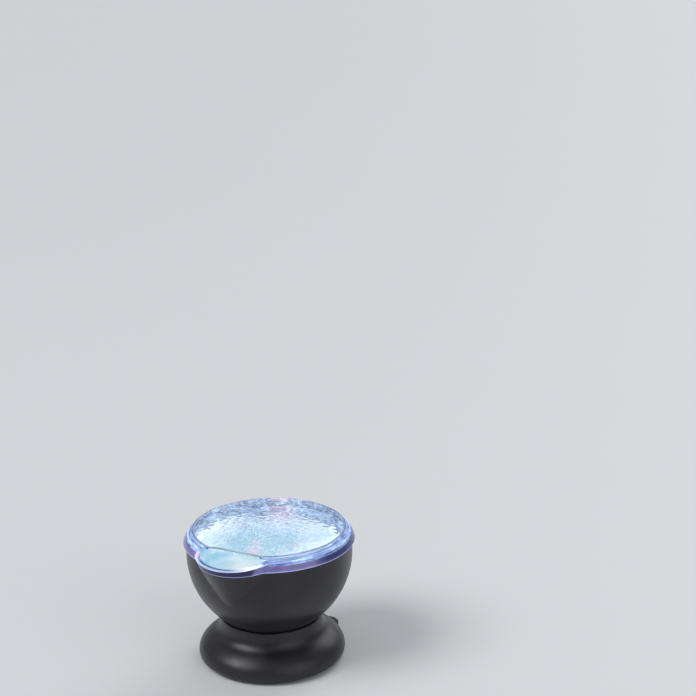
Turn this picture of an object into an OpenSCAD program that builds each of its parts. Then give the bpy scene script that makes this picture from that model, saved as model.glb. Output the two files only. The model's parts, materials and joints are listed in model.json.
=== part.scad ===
// Ocean wave projector: a round bowl head with a clear rippled cover and a spout-like lip,
// which tilts in a seat on a low domed base. Millimetres, +Z up, origin on the table under the base,
// lip towards -Y.

/* [Head bowl] */
// Outer radius of the round bowl, whose centre is also the tilt axis
head_r = 60; // [57:0.5:63]
// Height of the bowl's lowest point above the table
seat_h = 21.5; // [21:0.25:26]
// Wall of the bowl and of its spout
bowl_wall = 2.4; // [1.8:0.1:3]
// Straight band of the bowl above its widest line
bowl_band = 8.8; // [7:0.2:11]
// Collar of the bowl that the cover slips over
spigot_h = 3.3; // [2.5:0.1:3.6]
// How far the head tilts back, in degrees
tilt_max = 30; // [24:1:30]

/* [Clear cover] */
// Wall of the clear skirt, which stands this far outside the bowl
skirt_t = 2; // [1.6:0.1:2.6]
// Straight part of the skirt below its rounded edge
skirt_h = 3.6; // [3.4:0.1:6]
// Radius of the skirt's rounded top edge
edge_r = 2.2; // [1.4:0.1:2.6]
// Rise of the sloping ring, in degrees
ring_angle = 35; // [28:1:40]
// Width of the sloping ring, seen from above
ring_w = 6.7; // [6:0.1:8]
// Wall of the lens and of the lip
cover_t = 2; // [1.4:0.1:2.4]
// Rise of the lens above the sloping ring
lens_rise = 5; // [3:0.25:8]
// Width and depth of the groove around the lens
groove = 0.6; // [0.3:0.1:1]

/* [Lip] */
// How far the lip stands out past the skirt
lip_reach = 13; // [11:0.5:15]
// Radius of the lip's outline
lip_r = 30; // [28:0.5:32]
// How far the lip draws in from its top edge down to the bowl
lip_taper = 4.5; // [3:0.25:5.5]
// Height of the lip's tip above the bowl's edge
lip_h = 5; // [4.6:0.1:5.2]
// Fall of the lip's top towards its tip, in degrees
lip_slope = 7; // [4:0.5:9]

/* [Mode button] */
// Border of the lip around the button
pad_inset = 3.5; // [3.2:0.1:5]
// How far the button's straight back edge cuts into the lens
pad_bite = 4.3; // [3:0.1:5]
// Gap around the button
pad_gap = 0.3; // [0.2:0.05:0.5]
// Width of the button's hidden rim
pad_rim = 1.2; // [0.8:0.1:1.6]
// Thickness of the button's hidden rim
pad_rim_t = 1.2; // [0.8:0.1:1.6]
// Travel of the button
pad_travel = 0.8; // [0.4:0.1:1]
// Side of the push switch under the button
switch_w = 6; // [5:0.1:6.4]
// Height of the push switch's case
switch_h = 3.5; // [3:0.1:3.8]
// Radius of the push switch's plunger
plunger_r = 1.7; // [1.2:0.1:2]

/* [Wave drive] */
// Gap between the turning wave disc's rim and the reflector's wall
disc_gap = 1; // [0.8:0.1:3]
// Depth of the wave disc's rim below the bowl's edge
disc_drop = 5; // [4:0.25:6]
// Rise of the wave disc's dome
disc_rise = 3.5; // [3:0.25:6]
// Wall of the wave disc
disc_t = 1.6; // [1.2:0.1:2.2]
// Number of lobes around the wave disc's scalloped rim
lobe_count = 36; // [30:1:45]
// Radius of a lobe
lobe_r = 8; // [6:0.5:10]
// Number of ripple cups in the wave disc's top
cup_count = 78; // [30:1:90]
// Depth of a ripple cup
cup_depth = 0.7; // [0.3:0.1:1]
// Radius of the ball that forms a ripple cup
cup_ball = 9; // [6:0.5:12]
// Spread of the cups' spiral: distance of the first cup from the middle
cup_spread = 5; // [4.6:0.1:6]
// Radius of the motor shaft
shaft_r = 2; // [1.5:0.1:2.5]
// Running clearance of the shaft
shaft_fit = 0.05; // [0.02:0.01:0.08]
// Radius of the wave disc's hub
hub_r = 5; // [4:0.1:6]
// Radius of the gear motor's can
motor_r = 12; // [10:0.5:13]
// Height of the gear motor's can
motor_h = 13; // [10:0.5:15]
// Distance of the motor's two screws from the shaft
motor_ear = 15.5; // [15.5:0.5:18]

/* [Light board] */
// Depth of the light board below the bowl's centre
board_drop = 11.5; // [9:0.5:14]
// Thickness of the circuit boards
board_t = 1.6; // [1:0.1:2]
// Gap between the light board's rim and the bowl
board_margin = 7.6; // [6:0.2:9]
// Radius of the circle of lamps
led_circle = 30; // [26:0.5:34]
// Radius of a lamp's body
led_r = 2.5; // [1.5:0.1:2.8]
// Height of a lamp up to its tip
led_h = 8; // [6:0.25:9]
// Wall of the white reflector
reflector_t = 1.5; // [1:0.1:2]
// Gap between the reflector's rim and the bowl
reflector_margin = 2; // [1.5:0.1:3]

/* [Base] */
// Largest radius of the base
base_r = 53.6; // [52:0.2:58]
// Height of the base's widest line above the table
base_mid = 6.3; // [5.6:0.1:8]
// Rise of the base's dome above its widest line
dome_h = 21.6; // [20:0.2:23]
// How far the base draws in at its foot
base_tuck = 1.4; // [0.8:0.1:2]
// Wall of the base
base_wall = 2.4; // [1.8:0.1:2.8]
// Width of the hollow curve between dome and collar
cove_w = 6; // [4:0.5:8]
// Gap between the bowl and its seat
seat_gap = 0.35; // [0.25:0.05:0.5]
// Height of the base's lower edge above the table
foot_h = 2.5; // [2:0.1:3.5]
// Thickness of the bottom plate
plate_t = 2; // [1.6:0.1:2.6]
// Gap between the rubber foot ring and the bottom plate's rim
foot_margin = 1.7; // [1.2:0.1:3]
// Width of the rubber foot ring
foot_w = 5.5; // [4:0.25:6]
// Distance of the bottom screws from the foot ring
base_screw_inset = 4.5; // [4:0.25:5.5]

/* [Tilt clamp] */
// Radius of the hollow pivot stud
stud_r = 4; // [3.5:0.1:4.5]
// Radius of the wire way through the stud
wire_r = 2.4; // [1.5:0.1:2.6]
// Gap between the stud and the slot in the bowl
slot_gap = 0.6; // [0.4:0.1:0.8]
// Radius of the stud's flange under the seat
flange_r = 8; // [7:0.5:9]
// Thickness of the stud's flange
flange_t = 3; // [2:0.1:3]
// Half width of the clamp shoe across the slot
shoe_w = 11; // [9:0.5:13]
// Height of the guide rails beside the slot, which are round about the tilt axis
rail_h = 1.2; // [0.8:0.1:1.5]
// Width of a guide rail
rail_w = 3; // [2:0.1:3.5]
// Half length of the clamp shoe along the slot
shoe_l = 14; // [11:0.5:15]
// Thickness of the clamp shoe
shoe_t = 3; // [2:0.1:3.5]

/* [Speaker] */
// Radius of the speaker's rim
speaker_r = 20; // [16:0.5:20]
// Height of the speaker
speaker_h = 9; // [7.5:0.25:9]
// Radius of the speaker's magnet
magnet_r = 11; // [8:0.5:12]
// How far the speaker sits in front of the middle
speaker_y = 8; // [4:0.5:9]
// Number of sound slots in the back of the dome
slot_count = 9; // [5:1:11]
// Width of a sound slot
sound_slot_w = 1.8; // [1.2:0.1:2.4]

/* [Sockets and controls] */
// Angle between neighbouring sockets and controls along the back, in degrees
back_step = 21; // [20:0.5:22]
// Radius of the audio socket's bore
audio_r = 1.8; // [1.7:0.05:1.9]
// Depth of the audio socket's bore
audio_depth = 13; // [12:0.5:14]
// Width of the power socket's shell
usb_w = 7.7; // [7:0.1:8.5]
// Height of the power socket's shell
usb_h = 3.9; // [3.6:0.1:4.2]
// Radius of the volume wheel
wheel_r = 9; // [8:0.25:10]
// Thickness of the volume wheel
wheel_t = 3; // [2:0.1:3.2]
// How far the volume wheel stands out of the base
wheel_out = 2.5; // [1.5:0.1:3]
// Width of the power slider's knob
slider_w = 3; // [2:0.1:3.5]
// Travel of the power slider
slider_travel = 2.5; // [1.5:0.1:3]

/* [Hidden] */
$fn = 96;
eps = 0.05;
// How far a cut runs past the face that it opens
over = 1;
// Steps of the curves that are drawn by points
edge_steps = 6;
dome_steps = 16;
cove_steps = 8;
// Clearances shared by every fixed fit, by screws in their holes and by controls in their openings
fit = 0.3;
screw_fit = 0.1;
control_gap = 0.5;

// Heights and radii of the head
pivot_z = seat_h + head_r;
bowl_in_r = head_r - bowl_wall;
cover_z = pivot_z + bowl_band;
ledge_z = cover_z + spigot_h;
skirt_r = head_r + skirt_t;
lens_r = skirt_r - ring_w;
edge_z = cover_z + skirt_h;
ring_foot_r = skirt_r - edge_r + edge_r * sin(ring_angle);
ring_foot_z = edge_z + edge_r * cos(ring_angle);
lens_z = ring_foot_z + (ring_foot_r - lens_r) * tan(ring_angle);
lens_root = 2;
ledge_step = 0.2;
ledge_r = bowl_in_r - ledge_step;
ledge_top = lens_z - cover_t - (ledge_r - lens_r + lens_root) * tan(ring_angle);

// Lip and spout: the spout's cone runs down along the bowl's sphere and sinks a little into it
lip_y = skirt_r + lip_reach - lip_r;
lip_foot_r = lip_r - lip_taper;
spout_sink = 0.6;
spout_touch_r = head_r - spout_sink;
spout_tip = [lip_y + lip_foot_r, bowl_band];
spout_angle = acos(spout_touch_r / norm(spout_tip)) - atan2(spout_tip[1], spout_tip[0]);
spout_foot_r = spout_touch_r * cos(spout_angle) - lip_y;
spout_foot_z = pivot_z - spout_touch_r * sin(spout_angle);
spout_wall = bowl_wall / cos(spout_angle);
pad_back = lens_r - pad_bite;
pad_z = cover_z + lip_h + (lip_y + lip_r - pad_back) * tan(lip_slope);
pad_r = lip_r - pad_inset;

// Push switch under the button, in the button's own sloping frame
rim_gap = 0.2;
pad_under = cover_t + rim_gap + pad_rim_t;
rim_r = lip_foot_r - max(cover_t, spout_wall) - fit;
stem_h = 1;
stem_border = 0.5;
stem_r = plunger_r + stem_border;
plunger_h = 2.8;
plunger_up = 1.3;
plunger_room = 0.2;
switch_top = -pad_under - stem_h - plunger_up;
switch_floor = switch_top - switch_h;
button_board_t = 1.2;
button_board = [12, 6.8];
switch_y = -9;
rib = [2, 10, 5];
rib_x = 4.5;
rib_back = 3;

// Wave drive and light board
board_z = pivot_z - board_drop;
board_top = board_z + board_t;
board_r = bowl_in_r - board_margin;
boss_r = 4;
boss_circle = board_r - boss_r;
boss_angles = [30, 150, 270];
boss_hole = 8;
reflector_r = bowl_in_r - reflector_margin;
reflector_drop = 1;
reflector_z = ledge_z - reflector_drop;
floor_top = board_top + reflector_t;
reflector_flare = (reflector_r - board_r) / (reflector_z - floor_top);
motor_collar_up = 0.4;
collar_top = floor_top + motor_collar_up;
motor_collar_t = 2.5;
motor_collar_r = shaft_r + motor_collar_t;
middle_gap = 1.5;
middle_hole_r = motor_collar_r + middle_gap;
disc_z = cover_z - disc_drop;
disc_room = board_r - reflector_t + (disc_z - disc_t - floor_top) * reflector_flare;
disc_r = disc_room - disc_gap;
lobe_step = 360 / lobe_count;
cup_turn = 137.5;
shaft_drop = 1.5;
shaft_top = disc_z - shaft_drop;
hub_grip = 8;
hub_z = shaft_top - hub_grip;
motor_floor = 4;
shaft_foot = board_z - motor_h + motor_floor;
shaft_end_gap = 0.2;
ear_t = 1;
ear_w = 7;
led_flange = 0.4;
led_flange_h = 1;
led_step = 30;
screw_r = 1.2;
screw_head_r = 2.4;
screw_head_h = 1.6;
bolt_r = 1.4;
bolt_head_r = 2.7;
bolt_bite = 6;
motor_screw_end = 1.5;
board_screw_end = 1;

// Seat, collar and tilt slot
seat_r = head_r + seat_gap;
slot_r = stud_r + slot_gap;
slot_end = asin(slot_r / head_r);
slot_cover = 1.3;
rail_r = bowl_in_r - rail_h;
rail_x = slot_r + rail_w;
rail_end = 3;
collar_r = seat_r * sin(tilt_max + slot_end + slot_cover);
collar_t = 2;
collar_out = collar_r + collar_t;
collar_z = pivot_z - sqrt(pow(seat_r, 2) - pow(collar_r, 2));
cup_under = seat_h - seat_gap - base_wall;
stud_pad_t = 0.75;
stud_pad_z = cup_under - stud_pad_t;
stud_pad_border = 1;
stud_pad_r = flange_r + stud_pad_border;

// Clamp stack inside the bowl, from the shoe up to the end of the stud
shoe_r = bowl_in_r - fit;
shoe_pad_up = 1.3;
shoe_pad_z = pivot_z - shoe_r + shoe_t + shoe_pad_up;
shoe_pad_t = 2.5;
shoe_pad_w = 5;
shoe_pad_r = stud_r + shoe_pad_w;
spring_border = 0.8;
spring_gap = 0.4;
spring_t = 0.8;
spring_rise = 1.6;
spring_top = shoe_pad_z + spring_t + spring_rise;
washer_t = 1;
nut_z = spring_top + washer_t;
nut_h = 4;
nut_w = 4;
nut_r = stud_r + nut_w;
stud_end = 2;
stud_top = nut_z + nut_h + stud_end;

// Inside of the base
plate_top = foot_h + plate_t;
rim_t = 2.2;
plate_r = base_r - base_tuck - rim_t - fit;
foot_out = plate_r - foot_margin;
foot_in = foot_out - foot_w;
base_screw_circle = foot_in - base_screw_inset;
main_post_h = 0.5;
main_z = plate_top + main_post_h;
main_top = main_z + board_t;
main_margin = 4.7;
main_r = base_r - base_wall - main_margin;
main_l = 29.5;
main_y = main_r - main_l;
main_x = 30;
post_r = 3;
post_x = 22;
post_inset = 7;
post_y = main_y + post_inset;
blind_floor = 0.6;
base_boss_r = 3.4;
base_screw_angles = [20, 160, 200, 340];
foot_sink = 0.7;
speaker_top = plate_top + speaker_h;
speaker_rim_t = 1.5;
speaker_rim_w = 3;
basket_t = 0.8;
basket_out = 2;
basket_step = 0.4;
basket_hole = 6.6;
magnet_h = 3.6;
magnet_rim_t = 1.6;
magnet_rim_h = 2.5;
pole_r = 5;
pole_h = 5;
cone_z = 5.6;
cone_neck = 5.5;
cone_rise = 1.2;
cone_t = 0.6;
cone_drop = 0.2;

// Chips and capacitors on the main board
chip = [8, 6, 1.6];
chip_inset = 4;
small_chip = [6, 5, 1.4];
small_chip_x = 9;
cap_r = 2;
cap_h = 5;
cap_x = [-14, -9.5];

// Sound slots
sound_step = 9;
sound_low = 8.6;
sound_h = 5.2;
sound_cut = 12;

// Sockets and controls: places along the back, counted from its middle
audio_place = -0.5;
usb_place = 0.5;
wheel_place = -1.5;
slider_place = 1.5;
audio_w = 6.4;
audio_h = 5;
audio_body_l = 9;
audio_back = 1;
audio_sink = 0.6;
audio_z = main_top + audio_h / 2;
audio_mouth = base_r - audio_sink;
usb_l = 9.6;
usb_wall = 0.35;
usb_back = 1.2;
usb_sink = 0.8;
usb_mouth = base_r - usb_sink;
tongue = [4.2, 6.6, 1];
wheel_y = base_r + wheel_out - wheel_r;
wheel_lift = 1.8;
wheel_z = main_top + wheel_lift;
notch_r = 0.7;
notch_step = 15;
axle_r = 1.5;
axle_end = 0.2;
pot_w = 10;
pot_border = 1;
pot_h = 1.5;
switch_body = [8.6, 4, 4.4];
switch_sink = 6.2;
switch_face = base_r - switch_sink;
cut_inset = 4;
cut_l = 20;
knob_h = 2.4;
knob_sink = 1.6;
knob_out = 1.6;

// Points of a quarter of an ellipse, from its side at angle a0 up to angle a1
function ellipse_arc(a, b, z, a0, a1, n) =
    [for (i = [0 : n]) let (t = a0 + (a1 - a0) * i / n) [a * cos(t), z + b * sin(t)]];

// Points of a curve that leaves p0 and reaches p2, with its tangents meeting at p1
function bend(p0, p1, p2, n) =
    [for (i = [0 : n]) let (t = i / n) pow(1 - t, 2) * p0 + 2 * t * (1 - t) * p1 + t * t * p2];

// Places children at each of the given angles, at radius r
module around(angles, r) {
    for (a = angles) rotate([0, 0, a]) translate([r, 0, 0]) children();
}

// Turns children to one of the places along the back of the base
module at_back(place) {
    rotate([0, 0, place * back_step]) children();
}

// The button's sloping frame: its origin is the middle of the back edge and its top is the lip's top
module on_lip() {
    translate([0, -pad_back, pad_z]) rotate([lip_slope, 0, 0]) children();
}

// The space below a plane that lies d under the lip's top
module below_lip(d) {
    on_lip() translate([-2 * lip_r, -2 * lip_r, -3 * lip_r - d])
        cube([4 * lip_r, 3 * lip_r, 3 * lip_r]);
}

// Half section under a shallow dome of edge radius r at height z, down to height z0
module under_dome(r, rise, z, z0, inset = 0) {
    dome_r = (r * r + rise * rise) / (2 * rise);
    intersection() {
        translate([0, z + rise - dome_r]) circle(r = dome_r - inset, $fn = 360);
        translate([0, z0]) square([r, z + rise - z0]);
    }
}

// Half section of a bowl of radius r, round below the pivot and straight up to height z1
module bowl_section(r, z1) {
    intersection() {
        translate([0, pivot_z]) circle(r = r, $fn = 180);
        translate([0, pivot_z - r]) square([r, r]);
    }
    translate([0, pivot_z]) square([r, z1 - pivot_z]);
}

// A cone around the lip's axis, widening from the spout's foot up to the bowl's edge
module spout(inset, top) {
    translate([0, -lip_y, spout_foot_z])
        cylinder(r1 = spout_foot_r - inset, r2 = lip_foot_r - inset, h = cover_z - spout_foot_z);
    translate([0, -lip_y, cover_z - eps]) cylinder(r = lip_foot_r - inset, h = top - cover_z + eps);
}

// Outer form of the bowl with its spout
module bowl_outside() {
    rotate_extrude() bowl_section(head_r, cover_z);
    spout(0, cover_z);
}

// A slab that is round about the tilt axis, from radius r0 to r1 and of half width w. In the head's frame
// it covers every place of the stud as the head tilts, and runs past the last ones by the angle a.
module tilt_slab(r0, r1, w, a) {
    translate([0, 0, pivot_z]) rotate([-a, 0, 0]) rotate([0, 90, 0])
        rotate_extrude(angle = tilt_max + 2 * a) translate([r0, -w]) square([r1 - r0, 2 * w]);
}

// Screw with a round head, its head resting at z = 0 and its shank pointing down
module screw(r, head_r, head_h, length) {
    cylinder(r = head_r, h = head_h);
    translate([0, 0, -length]) cylinder(r = r, h = length + eps);
}

module head_bowl() {
    color("#17171c") difference() {
        union() {
            difference() {
                union() {
                    bowl_outside();
                    rotate_extrude() translate([0, cover_z - eps])
                        square([head_r - fit, spigot_h + eps]);
                }
                rotate_extrude() bowl_section(bowl_in_r, ledge_z + over);
                spout(spout_wall, ledge_z + over);
            }
            tilt_slab(rail_r, head_r - bowl_wall / 2, rail_x, slot_end + rail_end);
            intersection() {
                bowl_outside();
                around(boss_angles, boss_circle)
                    translate([0, 0, seat_h]) cylinder(r = boss_r, h = board_z - seat_h);
            }
            intersection() {
                bowl_outside();
                on_lip() for (x = [-rib_x, rib_x])
                    translate([x - rib[0] / 2, switch_y + rib_back - rib[1],
                        switch_floor - button_board_t - rib[2]])
                        cube(rib);
            }
        }
        tilt_slab(rail_r - over, head_r + over, slot_r, slot_end);
        around(boss_angles, boss_circle)
            translate([0, 0, board_z - boss_hole]) cylinder(r = bolt_r + screw_fit, h = boss_hole + over);
    }
}

// Outer form of the clear cover without its lip
module cover_outside() {
    rotate_extrude() {
        polygon(concat([[0, cover_z], [skirt_r, cover_z]],
            [for (p = ellipse_arc(edge_r, edge_r, edge_z, 0, 90 - ring_angle, edge_steps))
                p + [skirt_r - edge_r, 0]],
            [[lens_r, lens_z], [0, lens_z]]));
        under_dome(lens_r, lens_rise, lens_z, lens_z - over);
    }
}

// Hollow under the clear cover
module cover_inside() {
    rotate_extrude() {
        translate([0, cover_z - over]) square([head_r, spigot_h + over]);
        polygon([[0, ledge_z - eps], [ledge_r, ledge_z - eps], [ledge_r, ledge_top],
            [lens_r - lens_root, lens_z - cover_t], [0, lens_z - cover_t]]);
        intersection() {
            under_dome(lens_r, lens_rise, lens_z, lens_z - cover_t - over, cover_t);
            translate([0, lens_z - cover_t - over]) square([lens_r - lens_root, lens_rise + cover_t]);
        }
    }
}

// Body of the lip, drawn in by inset and ending d under the lip's top
module lip_body(inset, d) {
    intersection() {
        translate([0, -lip_y, cover_z]) {
            cylinder(r1 = lip_foot_r - inset, r2 = lip_r - inset, h = lip_h);
            translate([0, 0, lip_h - eps]) cylinder(r = lip_r - inset, h = lip_r);
            translate([0, 0, -inset / 2]) cylinder(r = lip_foot_r - inset, h = inset / 2 + eps);
        }
        below_lip(d);
        translate([-lip_r, -2 * skirt_r, 0]) cube([2 * lip_r, 2 * skirt_r - pad_back, 2 * pivot_z]);
    }
}

// Outline of the button: an arc of radius r along the lip and a straight back edge, moved back by g
module pad_outline(r, g) {
    intersection() {
        translate([0, pad_back - lip_y]) circle(r = r);
        translate([-lip_r, -2 * lip_r]) square([2 * lip_r, 2 * lip_r + g]);
    }
}

// Wall under the lens's edge that closes the cover behind the button
module back_wall() {
    half = sqrt(pow(pad_r, 2) - pow(pad_back - lip_y, 2)) + cover_t;
    intersection() {
        cover_outside();
        on_lip() translate([-half, pad_gap, -cover_t]) cube([2 * half, cover_t, lip_r]);
    }
}

module lens_cover() {
    color("#bfe6f2", 0.45) difference() {
        union() {
            cover_outside();
            lip_body(0, 0);
        }
        difference() {
            cover_inside();
            back_wall();
        }
        lip_body(cover_t, cover_t);
        on_lip() translate([0, 0, -pad_under])
            linear_extrude(height = lip_r) pad_outline(pad_r + pad_gap, pad_gap);
        translate([0, 0, lens_z - groove]) difference() {
            cylinder(r = lens_r, h = 2 * groove);
            translate([0, 0, -eps]) cylinder(r = lens_r - groove, h = 3 * groove);
        }
    }
}

module mode_button() {
    color("#a9dcf5", 0.6) on_lip() {
        translate([0, 0, -cover_t]) linear_extrude(height = cover_t) pad_outline(pad_r, 0);
        translate([0, 0, -cover_t - rim_gap]) linear_extrude(height = rim_gap + eps) pad_outline(rim_r, 0);
        translate([0, 0, -pad_under]) linear_extrude(height = pad_rim_t) pad_outline(rim_r, pad_rim);
        translate([0, switch_y, -pad_under - stem_h]) cylinder(r = stem_r, h = stem_h + eps);
    }
}

module switch_plunger() {
    color("#222222") on_lip()
        translate([0, switch_y, -pad_under - stem_h - plunger_h]) cylinder(r = plunger_r, h = plunger_h);
}

module push_switch() {
    pocket = plunger_h - plunger_up + pad_travel + plunger_room;
    color("#3a3a3e") on_lip() translate([0, switch_y, switch_floor]) difference() {
        translate([-switch_w / 2, -switch_w / 2, 0]) cube([switch_w, switch_w, switch_h]);
        translate([0, 0, switch_h - pocket]) cylinder(r = plunger_r + screw_fit, h = pocket + over);
    }
}

module button_board() {
    color("#1f6b3a") on_lip()
        translate([-button_board[0] / 2, switch_y - button_board[1] / 2, switch_floor - button_board_t])
            cube([button_board[0], button_board[1], button_board_t]);
}

// Cups that ripple the wave disc's top, on a sunflower spiral; each is a ball sunk into the dome
module ripple_cups() {
    dome_r = (disc_r * disc_r + disc_rise * disc_rise) / (2 * disc_rise);
    reach = dome_r + cup_ball - cup_depth;
    for (i = [2 : cup_count]) let (lean = asin(cup_spread * sqrt(i) / dome_r))
        translate([0, 0, disc_z + disc_rise - dome_r]) rotate([0, 0, i * cup_turn]) rotate([0, lean, 0])
            translate([0, 0, reach]) sphere(r = cup_ball, $fn = 48);
}

// Upright form of the wave disc's scalloped outline, from just under the disc to just over it
module scalloped_form() {
    form_h = 2 * over + disc_t + disc_rise;
    translate([0, 0, disc_z - disc_t - over]) {
        cylinder(r = disc_r - lobe_r / 2, h = form_h);
        around([0 : lobe_step : 359], disc_r - lobe_r) cylinder(r = lobe_r, h = form_h);
    }
}

module wave_disc() {
    color("#d8f4fb", 0.6) difference() {
        union() {
            intersection() {
                rotate_extrude() difference() {
                    under_dome(disc_r, disc_rise, disc_z, disc_z - disc_t);
                    under_dome(disc_r, disc_rise, disc_z, disc_z - 2 * disc_t, disc_t);
                }
                scalloped_form();
            }
            translate([0, 0, hub_z]) cylinder(r = hub_r, h = disc_z + disc_rise - disc_t / 2 - hub_z);
        }
        translate([0, 0, hub_z - eps]) cylinder(r = shaft_r + shaft_fit, h = shaft_top + fit - hub_z);
        ripple_cups();
    }
}

module motor_shaft() {
    color("silver") translate([0, 0, shaft_foot]) cylinder(r = shaft_r, h = shaft_top - shaft_foot);
}

module gear_motor() {
    color("#9a9ea3") difference() {
        union() {
            translate([0, 0, board_z - motor_h]) cylinder(r = motor_r, h = motor_h);
            translate([0, 0, board_z - eps]) cylinder(r = motor_collar_r, h = collar_top - board_z + eps);
            translate([-motor_ear, -ear_w / 2, board_z - ear_t]) cube([2 * motor_ear, ear_w, ear_t]);
            for (x = [-motor_ear, motor_ear])
                translate([x, 0, board_z - ear_t]) cylinder(r = ear_w / 2, h = ear_t);
        }
        translate([0, 0, shaft_foot - shaft_end_gap])
            cylinder(r = shaft_r + shaft_fit, h = collar_top - shaft_foot + over);
        for (x = [-motor_ear, motor_ear])
            translate([x, 0, board_z - ear_t - over]) cylinder(r = screw_r + screw_fit, h = ear_t + 2 * over);
    }
}

module motor_screws() {
    color("#b8b8bc") for (x = [-motor_ear, motor_ear])
        translate([x, 0, board_top])
            screw(screw_r, screw_head_r, screw_head_h, board_t + ear_t + motor_screw_end);
}

module led_board() {
    color("#e8ece8") translate([0, 0, board_z]) difference() {
        cylinder(r = board_r, h = board_t);
        translate([0, 0, -over]) cylinder(r = middle_hole_r, h = board_t + 2 * over);
        for (x = [-motor_ear, motor_ear])
            translate([x, 0, -over]) cylinder(r = screw_r + screw_fit, h = board_t + 2 * over);
        around(boss_angles, boss_circle)
            translate([0, 0, -over]) cylinder(r = bolt_r + screw_fit, h = board_t + 2 * over);
    }
}

module reflector() {
    cut_z = board_top - over;
    cut_h = reflector_t + 2 * over;
    color("#f4f4f2") difference() {
        rotate_extrude() polygon([[middle_hole_r, board_top], [board_r, board_top],
            [reflector_r, reflector_z], [reflector_r - reflector_t, reflector_z],
            [board_r - reflector_t, floor_top], [middle_hole_r, floor_top]]);
        around([0 : led_step : 359], led_circle)
            translate([0, 0, cut_z]) cylinder(r = led_r + led_flange + fit, h = cut_h);
        for (x = [-motor_ear, motor_ear])
            translate([x, 0, cut_z]) cylinder(r = screw_head_r + fit, h = cut_h);
        around(boss_angles, boss_circle)
            translate([0, 0, cut_z]) cylinder(r = bolt_r + screw_fit, h = cut_h);
    }
}

module reflector_screws() {
    color("#b8b8bc") around(boss_angles, boss_circle)
        translate([0, 0, floor_top])
            screw(bolt_r, bolt_head_r, screw_head_h, reflector_t + board_t + bolt_bite);
}

// Every fourth lamp of the circle, starting at the given step
module led_set(first, tint) {
    color(tint) around([first * led_step : 4 * led_step : first * led_step + 359], led_circle)
        translate([0, 0, board_top]) {
            cylinder(r = led_r + led_flange, h = led_flange_h);
            cylinder(r = led_r, h = led_h - led_r);
            translate([0, 0, led_h - led_r]) sphere(r = led_r);
        }
}

module leds_white() { led_set(0, "#fdfdf5"); }
module leds_blue() { led_set(1, "#3f6cff"); }
module leds_green() { led_set(2, "#44d878"); }
module leds_red() { led_set(3, "#ff4b4b"); }

module pivot_stud() {
    color("#c9b37a") difference() {
        union() {
            translate([0, 0, stud_pad_z - flange_t]) cylinder(r = flange_r, h = flange_t);
            translate([0, 0, stud_pad_z - eps]) cylinder(r = stud_r, h = stud_top - stud_pad_z + eps);
        }
        translate([0, 0, stud_pad_z - flange_t - over])
            cylinder(r = wire_r, h = stud_top - stud_pad_z + flange_t + 2 * over);
    }
}

module clamp_shoe() {
    color("#55585e") difference() {
        union() {
            intersection() {
                rotate_extrude() translate([0, pivot_z]) difference() {
                    circle(r = shoe_r, $fn = 180);
                    circle(r = shoe_r - shoe_t, $fn = 180);
                    translate([0, -shoe_r / 2]) square([2 * shoe_r, 2 * shoe_r]);
                    translate([-2 * shoe_r, -shoe_r]) square([2 * shoe_r, 2 * shoe_r]);
                }
                translate([-shoe_w, -shoe_l, 0]) cube([2 * shoe_w, 2 * shoe_l, pivot_z]);
            }
            translate([0, 0, shoe_pad_z - shoe_pad_t]) cylinder(r = shoe_pad_r, h = shoe_pad_t);
        }
        cylinder(r = stud_r + screw_fit, h = pivot_z);
        translate([0, 0, pivot_z]) rotate([-90, 0, 0]) rotate([0, 90, 0]) rotate_extrude(angle = 180)
            translate([rail_r - fit, -rail_x - fit]) square([head_r - rail_r, 2 * (rail_x + fit)]);
    }
}

module spring_washer() {
    outer = shoe_pad_r - spring_border;
    inner = stud_r + spring_gap;
    color("#c3c6cb") rotate_extrude() polygon([[outer, shoe_pad_z], [outer, shoe_pad_z + spring_t],
        [inner, spring_top], [inner, spring_top - spring_t]]);
}

module flat_washer() {
    color("#b8b8bc") translate([0, 0, spring_top]) difference() {
        cylinder(r = nut_r, h = washer_t);
        translate([0, 0, -over]) cylinder(r = stud_r + screw_fit, h = washer_t + 2 * over);
    }
}

module clamp_nut() {
    color("#c9b37a") translate([0, 0, nut_z]) difference() {
        cylinder(r = nut_r, h = nut_h, $fn = 6);
        translate([0, 0, -over]) cylinder(r = stud_r + shaft_fit, h = nut_h + 2 * over);
    }
}

// Outer half section of the base: tucked foot, dome, hollow curve and collar
module base_outline() {
    dome_start = 2;
    cove_end = 0.6;
    join_r = collar_out + cove_w;
    join_a = acos(join_r / base_r);
    join = [join_r, base_mid + dome_h * sin(join_a)];
    slope = dome_h / base_r / tan(join_a);
    corner = [collar_out, join[1] + cove_w * slope];
    wall_end = [collar_out, corner[1] + cove_end * (collar_z - corner[1])];
    foot_curve = ellipse_arc(base_tuck, base_mid - foot_h, base_mid, -90, 0, edge_steps);
    polygon(concat([[0, foot_h]], [for (p = foot_curve) p + [base_r - base_tuck, 0]],
        ellipse_arc(base_r, dome_h, base_mid, dome_start, join_a, dome_steps),
        bend(join, corner, wall_end, cove_steps), [[collar_out, collar_z], [0, collar_z]]));
}

// Half section of the hollow in the base, below the seat
module base_hollow() {
    difference() {
        union() {
            polygon(concat([[0, 0], [plate_r + fit, 0], [plate_r + fit, base_mid]],
                ellipse_arc(base_r - base_wall, dome_h - base_wall, base_mid, 0, 90, dome_steps)));
            square([collar_out - base_wall, collar_z]);
        }
        translate([0, pivot_z]) circle(r = seat_r + base_wall, $fn = 180);
    }
}

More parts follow.
